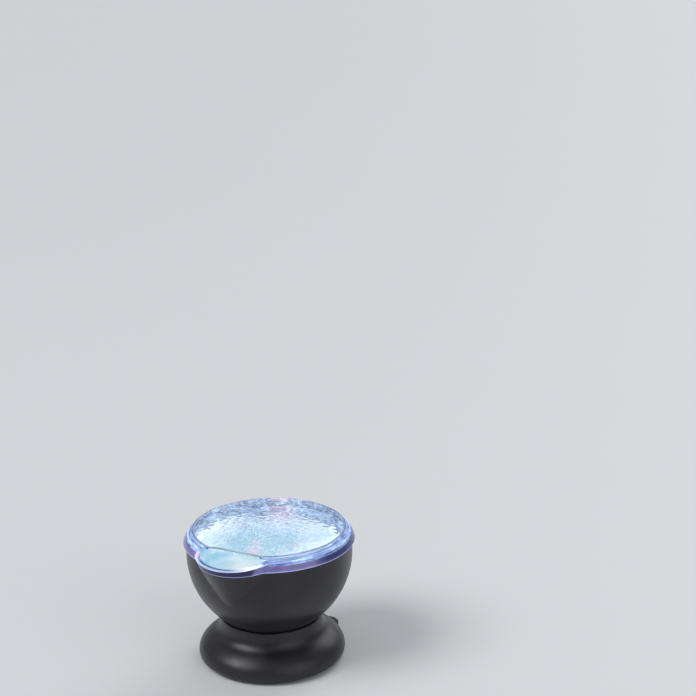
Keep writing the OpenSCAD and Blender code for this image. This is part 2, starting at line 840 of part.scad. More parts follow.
// Cuts in the back of the base for the sockets, the controls and the sound
module back_cuts() {
    at_back(audio_place) translate([0, switch_face - cut_inset, audio_z])
        rotate([-90, 0, 0]) cylinder(r = audio_h / 2 + fit, h = cut_l);
    at_back(usb_place) translate([-usb_w / 2 - fit, switch_face - cut_inset, main_top - fit])
        cube([usb_w + 2 * fit, cut_l, usb_h + 2 * fit]);
    at_back(wheel_place) translate([0, wheel_y, wheel_z - control_gap])
        cylinder(r = wheel_r + control_gap, h = wheel_t + 2 * control_gap);
    at_back(slider_place)
        translate([-(slider_w + slider_travel) / 2 - fit, switch_face + fit, knob_z() - fit])
            cube([slider_w + slider_travel + 2 * fit, cut_l, knob_h + 2 * fit]);
    for (i = [0 : slot_count - 1]) rotate([0, 0, (i - (slot_count - 1) / 2) * sound_step])
        translate([-sound_slot_w / 2, base_r - sound_cut, base_mid + sound_low])
            cube([sound_slot_w, sound_cut, sound_h]);
}

// Height of the power slider's knob
function knob_z() = main_top + (switch_body[2] - knob_h) / 2;

module base_shell() {
    color("#141418") difference() {
        union() {
            rotate_extrude() difference() {
                base_outline();
                base_hollow();
                translate([0, pivot_z]) circle(r = seat_r, $fn = 180);
            }
            intersection() {
                rotate_extrude() base_outline();
                around(base_screw_angles, base_screw_circle)
                    translate([0, 0, plate_top]) cylinder(r = base_boss_r, h = dome_h);
            }
            translate([0, 0, stud_pad_z]) cylinder(r = stud_pad_r, h = base_wall);
        }
        translate([0, 0, stud_pad_z - over]) cylinder(r = stud_r + screw_fit, h = base_wall + 3 * over);
        translate([0, 0, pivot_z]) sphere(r = seat_r, $fn = 180);
        around(base_screw_angles, base_screw_circle)
            translate([0, 0, plate_top - over]) cylinder(r = bolt_r + screw_fit, h = boss_hole + over);
        back_cuts();
    }
}

module base_plate() {
    color("#1b1b20") difference() {
        union() {
            translate([0, 0, foot_h]) cylinder(r = plate_r, h = plate_t);
            for (x = [-post_x, post_x])
                translate([x, post_y, plate_top - eps]) cylinder(r = post_r, h = main_post_h + eps);
            translate([0, -speaker_y, plate_top - eps]) difference() {
                cylinder(r = magnet_r + fit + magnet_rim_t, h = magnet_rim_h);
                translate([0, 0, -over]) cylinder(r = magnet_r + fit, h = magnet_rim_h + 2 * over);
            }
        }
        translate([0, 0, foot_h - over]) difference() {
            cylinder(r = foot_out, h = foot_sink + over);
            translate([0, 0, -over]) cylinder(r = foot_in, h = foot_sink + 3 * over);
        }
        around(base_screw_angles, base_screw_circle)
            translate([0, 0, foot_h - over]) cylinder(r = bolt_r + screw_fit, h = plate_t + 2 * over);
        for (x = [-post_x, post_x])
            translate([x, post_y, foot_h + blind_floor])
                cylinder(r = screw_r + screw_fit, h = plate_t + 2 * over);
    }
}

module foot_ring() {
    color("#2a2a2c") difference() {
        cylinder(r = foot_out, h = foot_h + foot_sink);
        translate([0, 0, -over]) cylinder(r = foot_in, h = foot_h + foot_sink + 2 * over);
    }
}

module base_screws() {
    color("#b8b8bc") around(base_screw_angles, base_screw_circle)
        translate([0, 0, foot_h]) rotate([180, 0, 0])
            screw(bolt_r, bolt_head_r, screw_head_h, plate_t + bolt_bite);
}

module main_board() {
    color("#1f6b3a") translate([0, 0, main_z]) difference() {
        linear_extrude(height = board_t) intersection() {
            circle(r = main_r);
            translate([-main_x, main_y]) square([2 * main_x, main_r]);
        }
        for (x = [-post_x, post_x])
            translate([x, post_y, -over]) cylinder(r = screw_r + screw_fit, h = board_t + 2 * over);
    }
}

module board_screws() {
    color("#b8b8bc") for (x = [-post_x, post_x]) translate([x, post_y, main_top])
        screw(screw_r, screw_head_r, screw_head_h, board_t + main_post_h + board_screw_end);
}

module board_chips() {
    color("#202226") translate([0, main_y + chip_inset, main_top]) {
        translate([-chip[0] / 2, 0, 0]) cube(chip);
        translate([small_chip_x, 0, 0]) cube(small_chip);
        for (x = cap_x) translate([x, cap_r, 0]) cylinder(r = cap_r, h = cap_h);
    }
}

module usb_socket() {
    inner_w = usb_w - 2 * usb_wall;
    inner_h = usb_h - 2 * usb_wall;
    color("#c8cacf") at_back(usb_place) translate([-usb_w / 2, usb_mouth - usb_l, main_top]) difference() {
        cube([usb_w, usb_l, usb_h]);
        translate([usb_wall, usb_back, usb_wall]) cube([inner_w, usb_l, inner_h]);
    }
}

module usb_tongue() {
    color("#101012") at_back(usb_place)
        translate([-tongue[0] / 2, usb_mouth - usb_l + usb_back, main_top + usb_h / 2 - tongue[2] / 2])
            cube(tongue);
}

module audio_jack() {
    back = audio_mouth - audio_depth - audio_back;
    color("#0e0e10") at_back(audio_place) difference() {
        union() {
            translate([-audio_w / 2, back, main_top]) cube([audio_w, audio_body_l, audio_h]);
            translate([0, back + audio_body_l - eps, audio_z]) rotate([-90, 0, 0])
                cylinder(r = audio_h / 2, h = audio_mouth - back - audio_body_l + eps);
        }
        translate([0, audio_mouth - audio_depth, audio_z]) rotate([-90, 0, 0])
            cylinder(r = audio_r, h = audio_depth + over);
    }
}

module volume_pot() {
    color("#c9b37a") at_back(wheel_place) translate([0, wheel_y, main_top]) {
        translate([-pot_w / 2, axle_r + pot_border - pot_w, 0]) cube([pot_w, pot_w, pot_h]);
        cylinder(r = axle_r, h = wheel_lift + wheel_t + axle_end);
    }
}

module volume_wheel() {
    cut_h = wheel_t + 2 * over;
    color("#1d1d22") at_back(wheel_place) translate([0, wheel_y, wheel_z]) difference() {
        cylinder(r = wheel_r, h = wheel_t);
        translate([0, 0, -over]) cylinder(r = axle_r + shaft_fit, h = cut_h);
        around([0 : notch_step : 359], wheel_r) translate([0, 0, -over]) cylinder(r = notch_r, h = cut_h);
    }
}

module switch_case() {
    pocket_w = slider_w + slider_travel + 2 * fit;
    color("#c8cacf") at_back(slider_place)
        translate([-switch_body[0] / 2, switch_face - switch_body[1], main_top]) difference() {
            cube(switch_body);
            translate([switch_body[0] / 2 - pocket_w / 2, switch_body[1] - knob_sink - fit,
                (switch_body[2] - knob_h) / 2 - fit])
                cube([pocket_w, switch_body[1], knob_h + 2 * fit]);
        }
}

module power_slider() {
    color("#1d1d22") at_back(slider_place)
        translate([-(slider_w + slider_travel) / 2, switch_face - knob_sink, knob_z()])
            cube([slider_w, base_r - switch_face + knob_sink + knob_out, knob_h]);
}

module speaker_magnet() {
    color("#4a4d52") translate([0, -speaker_y, plate_top]) {
        cylinder(r = magnet_r, h = magnet_h);
        cylinder(r = pole_r, h = pole_h);
    }
}

module speaker_frame() {
    foot = plate_top + magnet_h;
    top = speaker_top - speaker_rim_t;
    inner = speaker_r - speaker_rim_w;
    color("#7d8187") translate([0, -speaker_y, 0]) rotate_extrude() polygon([[basket_hole, foot],
        [magnet_r, foot], [speaker_r - basket_out, top], [speaker_r, top], [speaker_r, speaker_top],
        [inner, speaker_top], [inner, top + basket_step], [magnet_r - basket_step, foot + basket_t],
        [basket_hole, foot + basket_t]]);
}

module speaker_cone() {
    low = plate_top + cone_z;
    edge = speaker_r - speaker_rim_w - fit;
    top = speaker_top - cone_drop;
    color("#26262a") translate([0, -speaker_y, 0]) rotate_extrude() polygon([[0, low + cone_rise],
        [cone_neck, low], [edge, top - cone_t], [edge, top], [cone_neck + cone_t, low + cone_t],
        [0, low + cone_rise + cone_t]]);
}

base_shell();
base_plate();
foot_ring();
base_screws();
main_board();
board_screws();
board_chips();
usb_socket();
usb_tongue();
audio_jack();
volume_pot();
volume_wheel();
switch_case();
power_slider();
speaker_magnet();
speaker_frame();
speaker_cone();
pivot_stud();
clamp_shoe();
spring_washer();
flat_washer();
clamp_nut();
head_bowl();
led_board();
reflector();
reflector_screws();
leds_white();
leds_blue();
leds_green();
leds_red();
gear_motor();
motor_screws();
motor_shaft();
wave_disc();
lens_cover();
mode_button();
button_board();
push_switch();
switch_plunger();
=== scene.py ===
"""Ocean wave projector: a lit, rippled clear cover on a round black bowl, which tilts on a low domed base.

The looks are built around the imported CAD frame. Metres, +Z up, the lip towards -Y.
"""
import json
import math

import bmesh
import bpy
import numpy as np
from mathutils import Matrix, Vector

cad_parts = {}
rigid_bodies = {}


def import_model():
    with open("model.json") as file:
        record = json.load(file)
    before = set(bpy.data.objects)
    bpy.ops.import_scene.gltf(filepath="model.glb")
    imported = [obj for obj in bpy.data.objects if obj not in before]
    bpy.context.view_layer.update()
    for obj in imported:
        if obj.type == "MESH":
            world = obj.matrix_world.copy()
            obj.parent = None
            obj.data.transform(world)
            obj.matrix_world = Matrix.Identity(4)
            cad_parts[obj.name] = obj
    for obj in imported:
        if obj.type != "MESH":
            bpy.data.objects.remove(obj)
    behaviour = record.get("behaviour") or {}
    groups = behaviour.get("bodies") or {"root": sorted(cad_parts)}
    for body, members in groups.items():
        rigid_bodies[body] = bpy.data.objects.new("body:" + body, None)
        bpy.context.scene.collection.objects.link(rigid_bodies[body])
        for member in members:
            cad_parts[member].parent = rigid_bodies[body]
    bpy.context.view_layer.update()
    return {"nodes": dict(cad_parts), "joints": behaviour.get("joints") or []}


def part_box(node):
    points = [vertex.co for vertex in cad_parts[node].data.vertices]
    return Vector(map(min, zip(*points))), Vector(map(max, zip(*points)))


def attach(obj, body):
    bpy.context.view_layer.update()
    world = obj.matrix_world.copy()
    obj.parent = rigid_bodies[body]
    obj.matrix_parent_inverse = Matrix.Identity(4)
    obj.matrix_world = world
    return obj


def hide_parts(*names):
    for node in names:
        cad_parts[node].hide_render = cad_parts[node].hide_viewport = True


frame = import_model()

COVER_LOW, COVER_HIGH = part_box("lens_cover")
BOWL_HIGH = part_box("head_bowl")[1]
BASE_LOW, BASE_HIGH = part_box("base_shell")
DISC_LOW, DISC_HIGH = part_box("wave_disc")
PLATE_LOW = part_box("base_plate")[0]
TILT = next(j for j in frame["joints"] if j["name"] == "head_tilt")
FULL_TURN = 2 * math.pi
MM = 0.001
BLACK = (0, 0, 0)
CLEAR_IOR = 1.47
# Light that each lit piece sends out, as a share of the glow setting
COLLAR_LIGHT, DISH_LIGHT, DISC_LIGHT, BUTTON_LIGHT = 0.8, 0.88, 0.86, 0.38

bl_info = {
    "name": "Ocean Wave Projector",
    "version": (1, 0, 0),
    "blender": (4, 5, 0),
    "location": "View3D > Sidebar > Projector",
    "description": "Builds the looks of a wave projector around its CAD frame",
    "category": "Object",
}


def size(name, text, default):
    """A length that a user may change."""
    return bpy.props.FloatProperty(
        name=name, description=text, default=default, min=0.0, unit="LENGTH", precision=5)


def turn(name, text, degrees):
    """An angle that a user may change."""
    return bpy.props.FloatProperty(
        name=name, description=text, default=math.radians(degrees), subtype="ANGLE")


def share(name, text, default):
    """A plain factor that a user may change."""
    return bpy.props.FloatProperty(name=name, description=text, default=default, min=0.0)


def count(name, text, default):
    """A number of like things."""
    return bpy.props.IntProperty(name=name, description=text, default=default, min=1)


def tint(name, text, rgb):
    """A colour that a user may change."""
    return bpy.props.FloatVectorProperty(
        name=name, description=text, default=rgb, size=3, min=0.0, max=1.0, subtype="COLOR")


class HeadSizes(bpy.types.PropertyGroup):
    """The round bowl and its spout."""
    radius: size("Bowl radius", "Outer radius of the round bowl", BOWL_HIGH.x)
    wall: size("Bowl wall", "Wall of the bowl", 2.4 * MM)
    pivot: size("Pivot height", "Height of the bowl's centre, which is the tilt axis", TILT["pos_m"][2])
    spigot_gap: size("Spigot gap", "Gap between the bowl's collar and the cover", 0.3 * MM)
    spout_axis: size("Spout axis", "Distance of the spout's axis from the middle", 45 * MM)
    spout_top: size("Spout top radius", "Radius of the spout at the bowl's edge", -COVER_LOW.y - 47 * MM)
    spout_sink: size("Spout sink", "Depth at which the spout's cone sinks into the bowl", 0.6 * MM)
    spout_blend: size("Spout blend", "Radius of the hollow curve between spout and bowl", 13 * MM)
    slot_half: size("Slot half width", "Half width of the tilt slot", 4.6 * MM)
    slot_turn: turn("Slot end", "Angle that the slot runs past the stud's last place", 4.4)
    edge: size("Bowl edge", "Rounding of the bowl's top edge", 0.5 * MM)


class CoverSizes(bpy.types.PropertyGroup):
    """The clear cover with its lip."""
    radius: size("Skirt radius", "Outer radius of the skirt", COVER_HIGH.x)
    foot: size("Skirt foot", "Height of the skirt's lower edge", COVER_LOW.z)
    wall: size("Cover wall", "Wall of the skirt, the lens and the lip", 2 * MM)
    lean: size("Skirt lean", "How far the skirt leans in at its top", 1.6 * MM)
    ring_turn: turn("Ring slope", "Rise of the sloping ring", 45.8)
    lens_radius: size("Lens radius", "Radius of the lens inside the sloping ring", 55.3 * MM)
    lens_rise: size("Lens rise", "Rise of the lens above the ring", 5 * MM)
    groove: size("Groove", "Width and depth of the groove around the lens", 0.6 * MM)
    hairline: size("Hairline", "Distance of the fine second groove from the lens", 1.7 * MM)
    ledge: size("Ledge radius", "Inner radius of the ledge that rests on the bowl's collar", 57.4 * MM)
    edge: size("Rim edge", "Tangent length of the rounded top edge of the skirt", 1.0 * MM)
    lip_edge: size("Lip edge", "Tangent length of the rounded top edge of the lip", 0.7 * MM)
    lip_radius: size("Lip radius", "Radius of the lip's outline", -COVER_LOW.y - 45 * MM)
    lip_height: size("Lip height", "Height of the lip's tip above the skirt's lower edge", 5 * MM)
    lip_turn: turn("Lip slope", "Fall of the lip's top towards its tip", 7)
    lip_blend: size("Lip blend", "Radius of the hollow curve between lip and skirt at the foot", 6 * MM)
    top_blend: size("Top blend", "Radius of the hollow curve between lip and ring along the top", 14 * MM)
    lip_fall: share("Lip fall", "Slope by which the lip's sides run out into the ring", 0.9)
    lip_drop: size("Lip drop", "Width of the lip's edge that runs down to the ring at both ends", 2.6 * MM)
    ripple: size("Lens ripple", "Height of the ripples under the lens", 0.05 * MM)
    skin_ripple: size("Top ripple", "Height of the ripples on top of the lens", 0.035 * MM)


class ButtonSizes(bpy.types.PropertyGroup):
    """The button in the lip."""
    radius: size("Button radius", "Radius of the button's round front", -COVER_LOW.y - 48.5 * MM)
    back: size("Button back", "Distance of the straight back edge from the middle", 51 * MM)
    gap: size("Button gap", "Gap around the button", 0.3 * MM)
    depth: size("Pocket depth", "Depth of the button's pocket", 3.4 * MM)
    corner: size("Button corner", "Rounding of the two corners", 2.2 * MM)
    crown: size("Button crown", "Rise of the button's middle", 0.25 * MM)
    edge: size("Button edge", "Rounding of the button's top edge", 0.45 * MM)
    rim: size("Button rim", "How far the hidden rim is drawn in", 4.0 * MM)
    stem: size("Button stem", "Radius of the stem that meets the switch", 2.2 * MM)
    stem_y: size("Stem place", "Distance of the stem from the back edge", 9 * MM)


class DiscSizes(bpy.types.PropertyGroup):
    """The turning ripple disc."""
    radius: size("Disc radius", "Radius of the ripple disc", DISC_HIGH.x + 0.6 * MM)
    top: size("Disc top", "Height of the disc's middle", DISC_HIGH.z)
    rise: size("Disc rise", "Rise of the disc from rim to middle", 3.5 * MM)
    wall: size("Disc wall", "Wall of the disc", 1.6 * MM)
    ripple: size("Ripple height", "Height of the ripples", 0.9 * MM)
    cell: size("Ripple size", "Size of one ripple", 6.2 * MM)
    scallops: count("Scallops", "Number of scallops around the rim", 36)
    scallop: size("Scallop depth", "Depth of a scallop", 1.1 * MM)
    hub: size("Hub radius", "Radius of the hub", 5 * MM)
    bore: size("Hub bore", "Radius of the hub's bore", 2.05 * MM)


class BaseSizes(bpy.types.PropertyGroup):
    """The domed base."""
    radius: size("Base radius", "Largest radius of the base", BASE_HIGH.x)
    foot: size("Base foot", "Height of the base's lower edge", BASE_LOW.z)
    waist: size("Widest line", "Height of the base's widest line", 6.3 * MM)
    dome: size("Dome rise", "Rise of the dome above the widest line", 21.6 * MM)
    tuck: size("Foot tuck", "How far the base draws in at its foot", 1.4 * MM)
    wall: size("Base wall", "Wall of the base", 2.4 * MM)
    collar_top: size("Collar top", "Height of the collar", BASE_HIGH.z)
    collar: size("Collar wall", "Wall of the collar at its top", 2 * MM)
    cove: size("Cove width", "Width of the hollow curve under the collar", 6 * MM)
    seat_gap: size("Seat gap", "Gap between the bowl and its seat", 0.35 * MM)
    plate_hole: size("Plate opening", "Radius of the opening for the bottom plate", 50 * MM)
    stud_hole: size("Stud hole", "Radius of the hole for the pivot stud", 4.1 * MM)
    stud_pad: size("Stud pad", "Radius of the flat under the seat", 9 * MM)
    stud_low: size("Stud pad height", "Height of the flat under the seat", 18 * MM)
    slots: count("Sound slots", "Number of sound slots in the back", 9)
    slot_turn: turn("Slot step", "Angle between sound slots", 9)
    slot_wide: size("Slot width", "Width of a sound slot", 1.8 * MM)
    slot_low: size("Slot foot", "Height of a slot's lower end", 14.9 * MM)
    slot_high: size("Slot top", "Height of a slot's upper end", 20.1 * MM)
    step: turn("Socket step", "Angle between sockets and controls along the back", 21)


class Colours(bpy.types.PropertyGroup):
    """Colours of the plastics and of the light."""
    body: tint("Body", "Satin black of bowl and base", (0.011, 0.010, 0.014))
    bright: tint("Bright glow", "Bright light in the lens", (0.70, 0.80, 0.86))
    cyan: tint("Cyan glow", "Cyan light in the lens", (0.46, 0.62, 0.69))
    deep: tint("Deep glow", "Deeper blue between the facets of the light", (0.16, 0.42, 0.50))
    pale: tint("Pale glow", "Pale streaks on the dish", (0.50, 0.72, 1.0))
    wall: tint("Wall glow", "Deep blue of the dish between its streaks", (0.01, 0.03, 0.20))
    white: tint("White glow", "Brightest part of the light", (0.84, 0.89, 0.93))
    green: tint("Green glow", "Pale green light in the lens", (0.44, 0.80, 0.62))
    rose: tint("Rose glow", "Rose light in the lens", (0.98, 0.52, 0.62))
    ring: tint("Ring glow", "Light in the sloping ring", (0.26, 0.36, 0.74))
    skirt: tint("Skirt glow", "Light in the skirt", (0.14, 0.125, 0.30))
    # Painted shade: dark navy for the lip's clear front, where it is unlit.
    lip_front_shade: tint("Lip front", "Dark front of the lip", (0.012, 0.010, 0.075))
    edge: tint("Edge glow", "Light that leaves the skirt's lower edge", (0.55, 0.62, 1.0))
    button: tint("Button glow", "Light in the button", (0.16, 0.48, 0.72))
    warm: tint("Warm spot", "Warm light beside the button", (1.0, 0.95, 0.84))
    floor: tint("Floor", "Plain pale floor", (0.85, 0.86, 0.88))


class StageSettings(bpy.types.PropertyGroup):
    """Camera and light."""
    camera: bpy.props.FloatVectorProperty(
        name="Camera", description="Place of the camera", size=3, subtype="XYZ", unit="LENGTH",
        default=(0.4622, -0.8212, 0.4872))
    heading: turn("Heading", "Turn of the camera about the upright axis, from +Y towards +X", 3.5669 - 29.371)
    fall: turn("Fall", "Downward tilt of the camera", 15.197)
    roll: turn("Roll", "Roll of the camera", -0.748)
    focal: bpy.props.FloatProperty(
        name="Focal length", description="Focal length for a 36 mm wide frame", default=72.41,
        subtype="DISTANCE_CAMERA")
    glow: share("Glow", "Strength of the light in the lens", 0.87)
    key: share("Key light", "Strength of the large soft light from the left", 1.3)
    fill: share("Fill light", "Strength of the light from the right", 0.45)
    back: share("Back light", "Strength of the light from behind", 0.6)
    room: share("Room light", "Strength of the even light from all sides", 0.34)


class ProjectorSettings(bpy.types.PropertyGroup):
    """All sizes and colours of the projector."""
    head: bpy.props.PointerProperty(type=HeadSizes, name="Head", description="Sizes of the bowl")
    cover: bpy.props.PointerProperty(type=CoverSizes, name="Cover", description="Sizes of the clear cover")
    button: bpy.props.PointerProperty(type=ButtonSizes, name="Button", description="Sizes of the button")
    disc: bpy.props.PointerProperty(type=DiscSizes, name="Disc", description="Sizes of the ripple disc")
    base: bpy.props.PointerProperty(type=BaseSizes, name="Base", description="Sizes of the base")
    colours: bpy.props.PointerProperty(type=Colours, name="Colours", description="Colours of the projector")
    stage: bpy.props.PointerProperty(type=StageSettings, name="Stage", description="Camera and light")


def smooth_max(a, b, k):
    """The larger of a and b, rounded over where they cross."""
    h = np.clip(0.5 + 0.5 * (a - b) / k, 0, 1)
    return b + (a - b) * h + k * h * (1 - h)


def ease(value, low, high):
    """0 below low and 1 above high, with a smooth rise between them."""
    t = np.clip((value - low) / (high - low), 0, 1)
    return t * t * (3 - 2 * t)


def flare_outline(angles, rim, axis, lip, blend):
    """Radius at each angle from -Y of a circle with a round lip, joined by hollow curves of radius blend."""
    a = np.abs(angles)
    if lip <= 0 or axis + lip <= rim:
        return np.full(len(a), rim)
    far, near = rim + blend, lip + blend
    turn_in = math.acos(min(1.0, (far ** 2 + axis ** 2 - near ** 2) / (2 * far * axis)))
    centre = np.array([far * math.sin(turn_in), far * math.cos(turn_in)])
    touch = np.array([0, axis]) + (centre - [0, axis]) * lip / near
    turn_out = math.atan2(touch[0], touch[1])
    on_lip = axis * np.cos(a) + np.sqrt(np.maximum(lip ** 2 - (axis * np.sin(a)) ** 2, 0))
    off = turn_in - a
    hollow = far * np.cos(off) - np.sqrt(np.maximum(blend ** 2 - (far * np.sin(off)) ** 2, 0))
    return np.where(a <= turn_out, on_lip, np.where(a < turn_in, hollow, rim))


def lip_angles(fine=0.5, coarse=1.5, reach=32):
    """Angles from -Y for the columns of a piece with a lip, closer together at the lip."""
    near = np.arange(-reach, reach, fine)
    far = np.arange(reach, 360 - reach, coarse)
    return np.radians(np.concatenate([near, far]))


def around(angles, radius, height):
    """Points at the given angles from -Y."""
    height = np.broadcast_to(height, angles.shape)
    return np.stack([radius * np.sin(angles), -radius * np.cos(angles), height], axis=1)


def wrapped(angles):
    """The same angles, between minus and plus half a turn."""
    return (angles + math.pi) % FULL_TURN - math.pi


def skin(name, rows, loop=False, caps=False):
    """A mesh over rows of points. A row of one point is a pole; loop joins the last row to the first."""
    points, starts, faces = [], [], []
    for row in rows:
        starts.append((len(points), len(row)))
        points.extend(row)
    pairs = list(zip(starts, starts[1:])) + ([(starts[-1], starts[0])] if loop else [])
    for (a, n), (b, m) in pairs:
        wide = max(n, m)
        for i in range(wide):
            j = (i + 1) % wide
            if n == 1:
                faces.append((a, b + j, b + i))
            elif m == 1:
                faces.append((a + i, a + j, b))
            else:
                faces.append((a + i, a + j, b + j, b + i))
    if caps:
        for start, wide in (starts[0], starts[-1]):
            faces.append(tuple(range(start, start + wide)))
    mesh = bpy.data.meshes.new(name)
    mesh.from_pydata([tuple(map(float, p)) for p in points], [], faces)
    tidy(mesh)
    return mesh


def tidy(mesh):
    """Merges doubles and turns the faces outwards."""
    work = bmesh.new()
    work.from_mesh(mesh)
    bmesh.ops.remove_doubles(work, verts=work.verts, dist=2e-6)
    bmesh.ops.recalc_face_normals(work, faces=work.faces)
    work.to_mesh(mesh)
    work.free()


def shade(mesh, degrees=32):
    """Smooth shading, with edges above the given angle kept crisp."""
    mesh.shade_smooth()
    mesh.set_sharp_from_angle(angle=math.radians(degrees))


def place(name, mesh):
    """An object for a mesh, at the origin."""
    obj = bpy.data.objects.new(name, mesh)
    bpy.context.scene.collection.objects.link(obj)
    return obj


def finish_piece(obj, material, body, slot, *nodes):
    """Gives a piece its finish, its body and the CAD nodes that it stands for."""
    if not obj.data.polygons:
        raise RuntimeError(f"{obj.name} has no faces")
    obj.data.materials.clear()
    obj.data.materials.append(material)
    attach(obj, body)
    if nodes:
        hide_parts(*nodes)
    return obj


def plain_mesh(obj):
    """Turns what the modifiers of obj make into its plain mesh."""
    bpy.context.view_layer.update()
    made = bpy.data.meshes.new_from_object(obj.evaluated_get(bpy.context.evaluated_depsgraph_get()))
    obj.modifiers.clear()
    obj.data = made
    return obj


def carve(obj, cutter, operation="DIFFERENCE"):
    """Cuts one closed mesh out of another, or joins the two."""
    before = len(obj.data.polygons)
    cut = obj.modifiers.new("carve", "BOOLEAN")
    cut.operation, cut.solver, cut.object = operation, "MANIFOLD", cutter
    plain_mesh(obj)
    bpy.data.objects.remove(cutter)
    if not 0.3 * before < len(obj.data.polygons):
        raise RuntimeError(f"{obj.name}: a cut removed the piece")
    return obj


def curve(start, corner, end, steps):
    """Points of a curve from start to end, with its tangents meeting at corner."""
    start, corner, end = np.array(start), np.array(corner), np.array(end)
    return [(1 - t) ** 2 * start + 2 * t * (1 - t) * corner + t * t * end for t in np.linspace(0, 1, steps)]


def round_corners(points, steps=5):
    """A polyline whose corners (r, z, rounding) are replaced by short curves."""
    made = []
    for i, (r, z, rounding) in enumerate(points):
        here = np.array([r, z])
        if rounding == 0:
            made.append(here)
            continue
        last, after = np.array(points[i - 1][:2]), np.array(points[(i + 1) % len(points)][:2])
        start = here + (last - here) / np.linalg.norm(last - here) * rounding
        end = here + (after - here) / np.linalg.norm(after - here) * rounding
        made.extend(curve(start, here, end, steps))
    return made


def block(name, low, high, matrix, rounding=0.0):
    """A box between two corners, with rounded edges along its Y direction, in the given frame."""
    (x0, y0, z0), (x1, y1, z1) = low, high
    ring = round_corners([(x0, z0, rounding), (x1, z0, rounding), (x1, z1, rounding), (x0, z1, rounding)])
    rows = [[matrix @ Vector((x, y, z)) for x, z in ring] for y in (y0, y1)]
    return place(name, skin(name, rows, caps=True))


def rod(name, radius, low, high, matrix, columns=48):
    """A round bar along the Z direction of the given frame."""
    ring = [(radius * math.cos(a), radius * math.sin(a)) for a in np.linspace(0, FULL_TURN, columns, False)]
    rows = [[matrix @ Vector((x, y, z)) for x, y in ring] for z in (low, high)]
    return place(name, skin(name, rows, caps=True))


class Wiring:
    """A node tree while it is made."""
    tree = None

    def add(self, kind, inputs=None, **settings):
        node = self.tree.nodes.new(kind)
        for key, value in settings.items():
            setattr(node, key, value)
        for name, value in (inputs or {}).items():
            self.put(node.inputs[name], value)
        return node

    def put(self, socket, value):
        if isinstance(value, bpy.types.NodeSocket):
            self.tree.links.new(value, socket)
        elif socket.type == "RGBA" and len(value) == 3:
            socket.default_value = (*value, 1.0)
        else:
            socket.default_value = value

    def math(self, operation, *values):
        return self.add("ShaderNodeMath", dict(enumerate(values)), operation=operation).outputs[0]

    def times(self, first, *others):
        for value in others:
            first = self.math("MULTIPLY", first, value)
        return first

    def plus(self, a, b):
        return self.math("ADD", a, b)

    def minus(self, a, b):
        return self.math("SUBTRACT", a, b)

    def vector(self, x, y, z=0.0):
        return self.add("ShaderNodeCombineXYZ", {"X": x, "Y": y, "Z": z}).outputs[0]


class Finish(Wiring):
    """A node material while it is made."""

    def __init__(self, name):
        self.material = bpy.data.materials.new(name)
        self.material.use_nodes = True
        self.tree = self.material.node_tree
        self.shader = self.tree.nodes["Principled BSDF"]
        self.place = self.add("ShaderNodeTexCoord").outputs["Object"]

    def set(self, **values):
        """Sets the shader's sockets by name."""
        for name, value in values.items():
            self.put(self.shader.inputs[name.replace("_", " ")], value)
        return self

    def stretched(self, scale):
        return self.add("ShaderNodeMapping", {"Vector": self.place, "Scale": scale}).outputs[0]

    def noise(self, scale, detail=3.0, roughness=0.55, where=None, warp=0.0):
        return self.add("ShaderNodeTexNoise", {
            "Vector": where or self.place, "Scale": scale, "Detail": detail, "Roughness": roughness,
            "Distortion": warp}).outputs["Fac"]

    def cells(self, scale):
        return self.add("ShaderNodeTexVoronoi", {"Vector": self.place, "Scale": scale}).outputs["Distance"]

    def band(self, value, low, high, start=0.0, end=1.0):
        """Smoothly from start at low to end at high."""
        return self.add("ShaderNodeMapRange", {
            "Value": value, "From Min": low, "From Max": high, "To Min": start, "To Max": end},
            interpolation_type="SMOOTHSTEP").outputs[0]

    def blend(self, factor, a, b):
        first, second, result = 6, 7, 2
        return self.add("ShaderNodeMix", {0: factor, first: a, second: b}, data_type="RGBA").outputs[result]

    def over(self, below, colour, zone, weight=None):
        """The given colour laid over what is below it in a zone."""
        return self.blend(zone if weight is None else self.times(zone, weight), below, colour)

    def relief(self, height, depth):
        """Bumps of the given depth in metres."""
        bump = self.add("ShaderNodeBump", {"Strength": 1.0, "Distance": depth, "Height": height})
        return self.set(Normal=bump.outputs[0])

    def axes(self):
        return self.add("ShaderNodeSeparateXYZ", {0: self.place}).outputs

    def reach(self, x, y):
        """Distance from the upright axis."""
        return self.math("SQRT", self.plus(self.times(x, x), self.times(y, y)))

    def spot(self, x, y, at_x, at_y, wide):
        """1 in the middle of an upright round zone, falling to 0 at its edge."""
        return self.band(self.reach(self.minus(x, at_x), self.minus(y, at_y)), wide, 0.0)

    def line(self, value, at, low, high):
        """A thin zone where the value is close to the given one."""
        return self.band(self.math("ABSOLUTE", self.minus(value, at)), low, high)

    def most(self, first, *others):
        for value in others:
            first = self.math("MAXIMUM", first, value)
        return first


def scaled(colour, factor):
    """The same colour, lighter or darker."""
    return tuple(min(1.0, c * factor) for c in colour)


def moulded(name, colour, rough, grain=0.02 * MM, grain_scale=2400, sheen=0.0, lit=None):
    """Moulded plastic or rubber: soft patches in its tone, and a fine even grain; lit adds light to it."""
    f = Finish(name)
    spread = 0.25
    patches = f.noise(55, 4)
    fine = f.noise(grain_scale, 2, 0.6)
    f.set(Base_Color=f.blend(
        f.band(patches, 0.3, 0.7), scaled(colour, 1 - spread), scaled(colour, 1 + spread)))
    f.set(Roughness=f.band(f.plus(fine, patches), 0.7, 1.3, rough - 0.06, rough + 0.08))
    if sheen:
        f.set(Sheen_Weight=sheen, Sheen_Roughness=0.4, Sheen_Tint=(0.75, 0.7, 1.0))
    if lit:
        lit(f)
    return f.relief(fine, grain).material


def dish_streaks(f):
    """Long level streaks of the light that falls on the dish and the wall above it."""
    return f.noise(1.0, 5, 0.62, where=f.stretched((75, 75, 360)), warp=1.0)


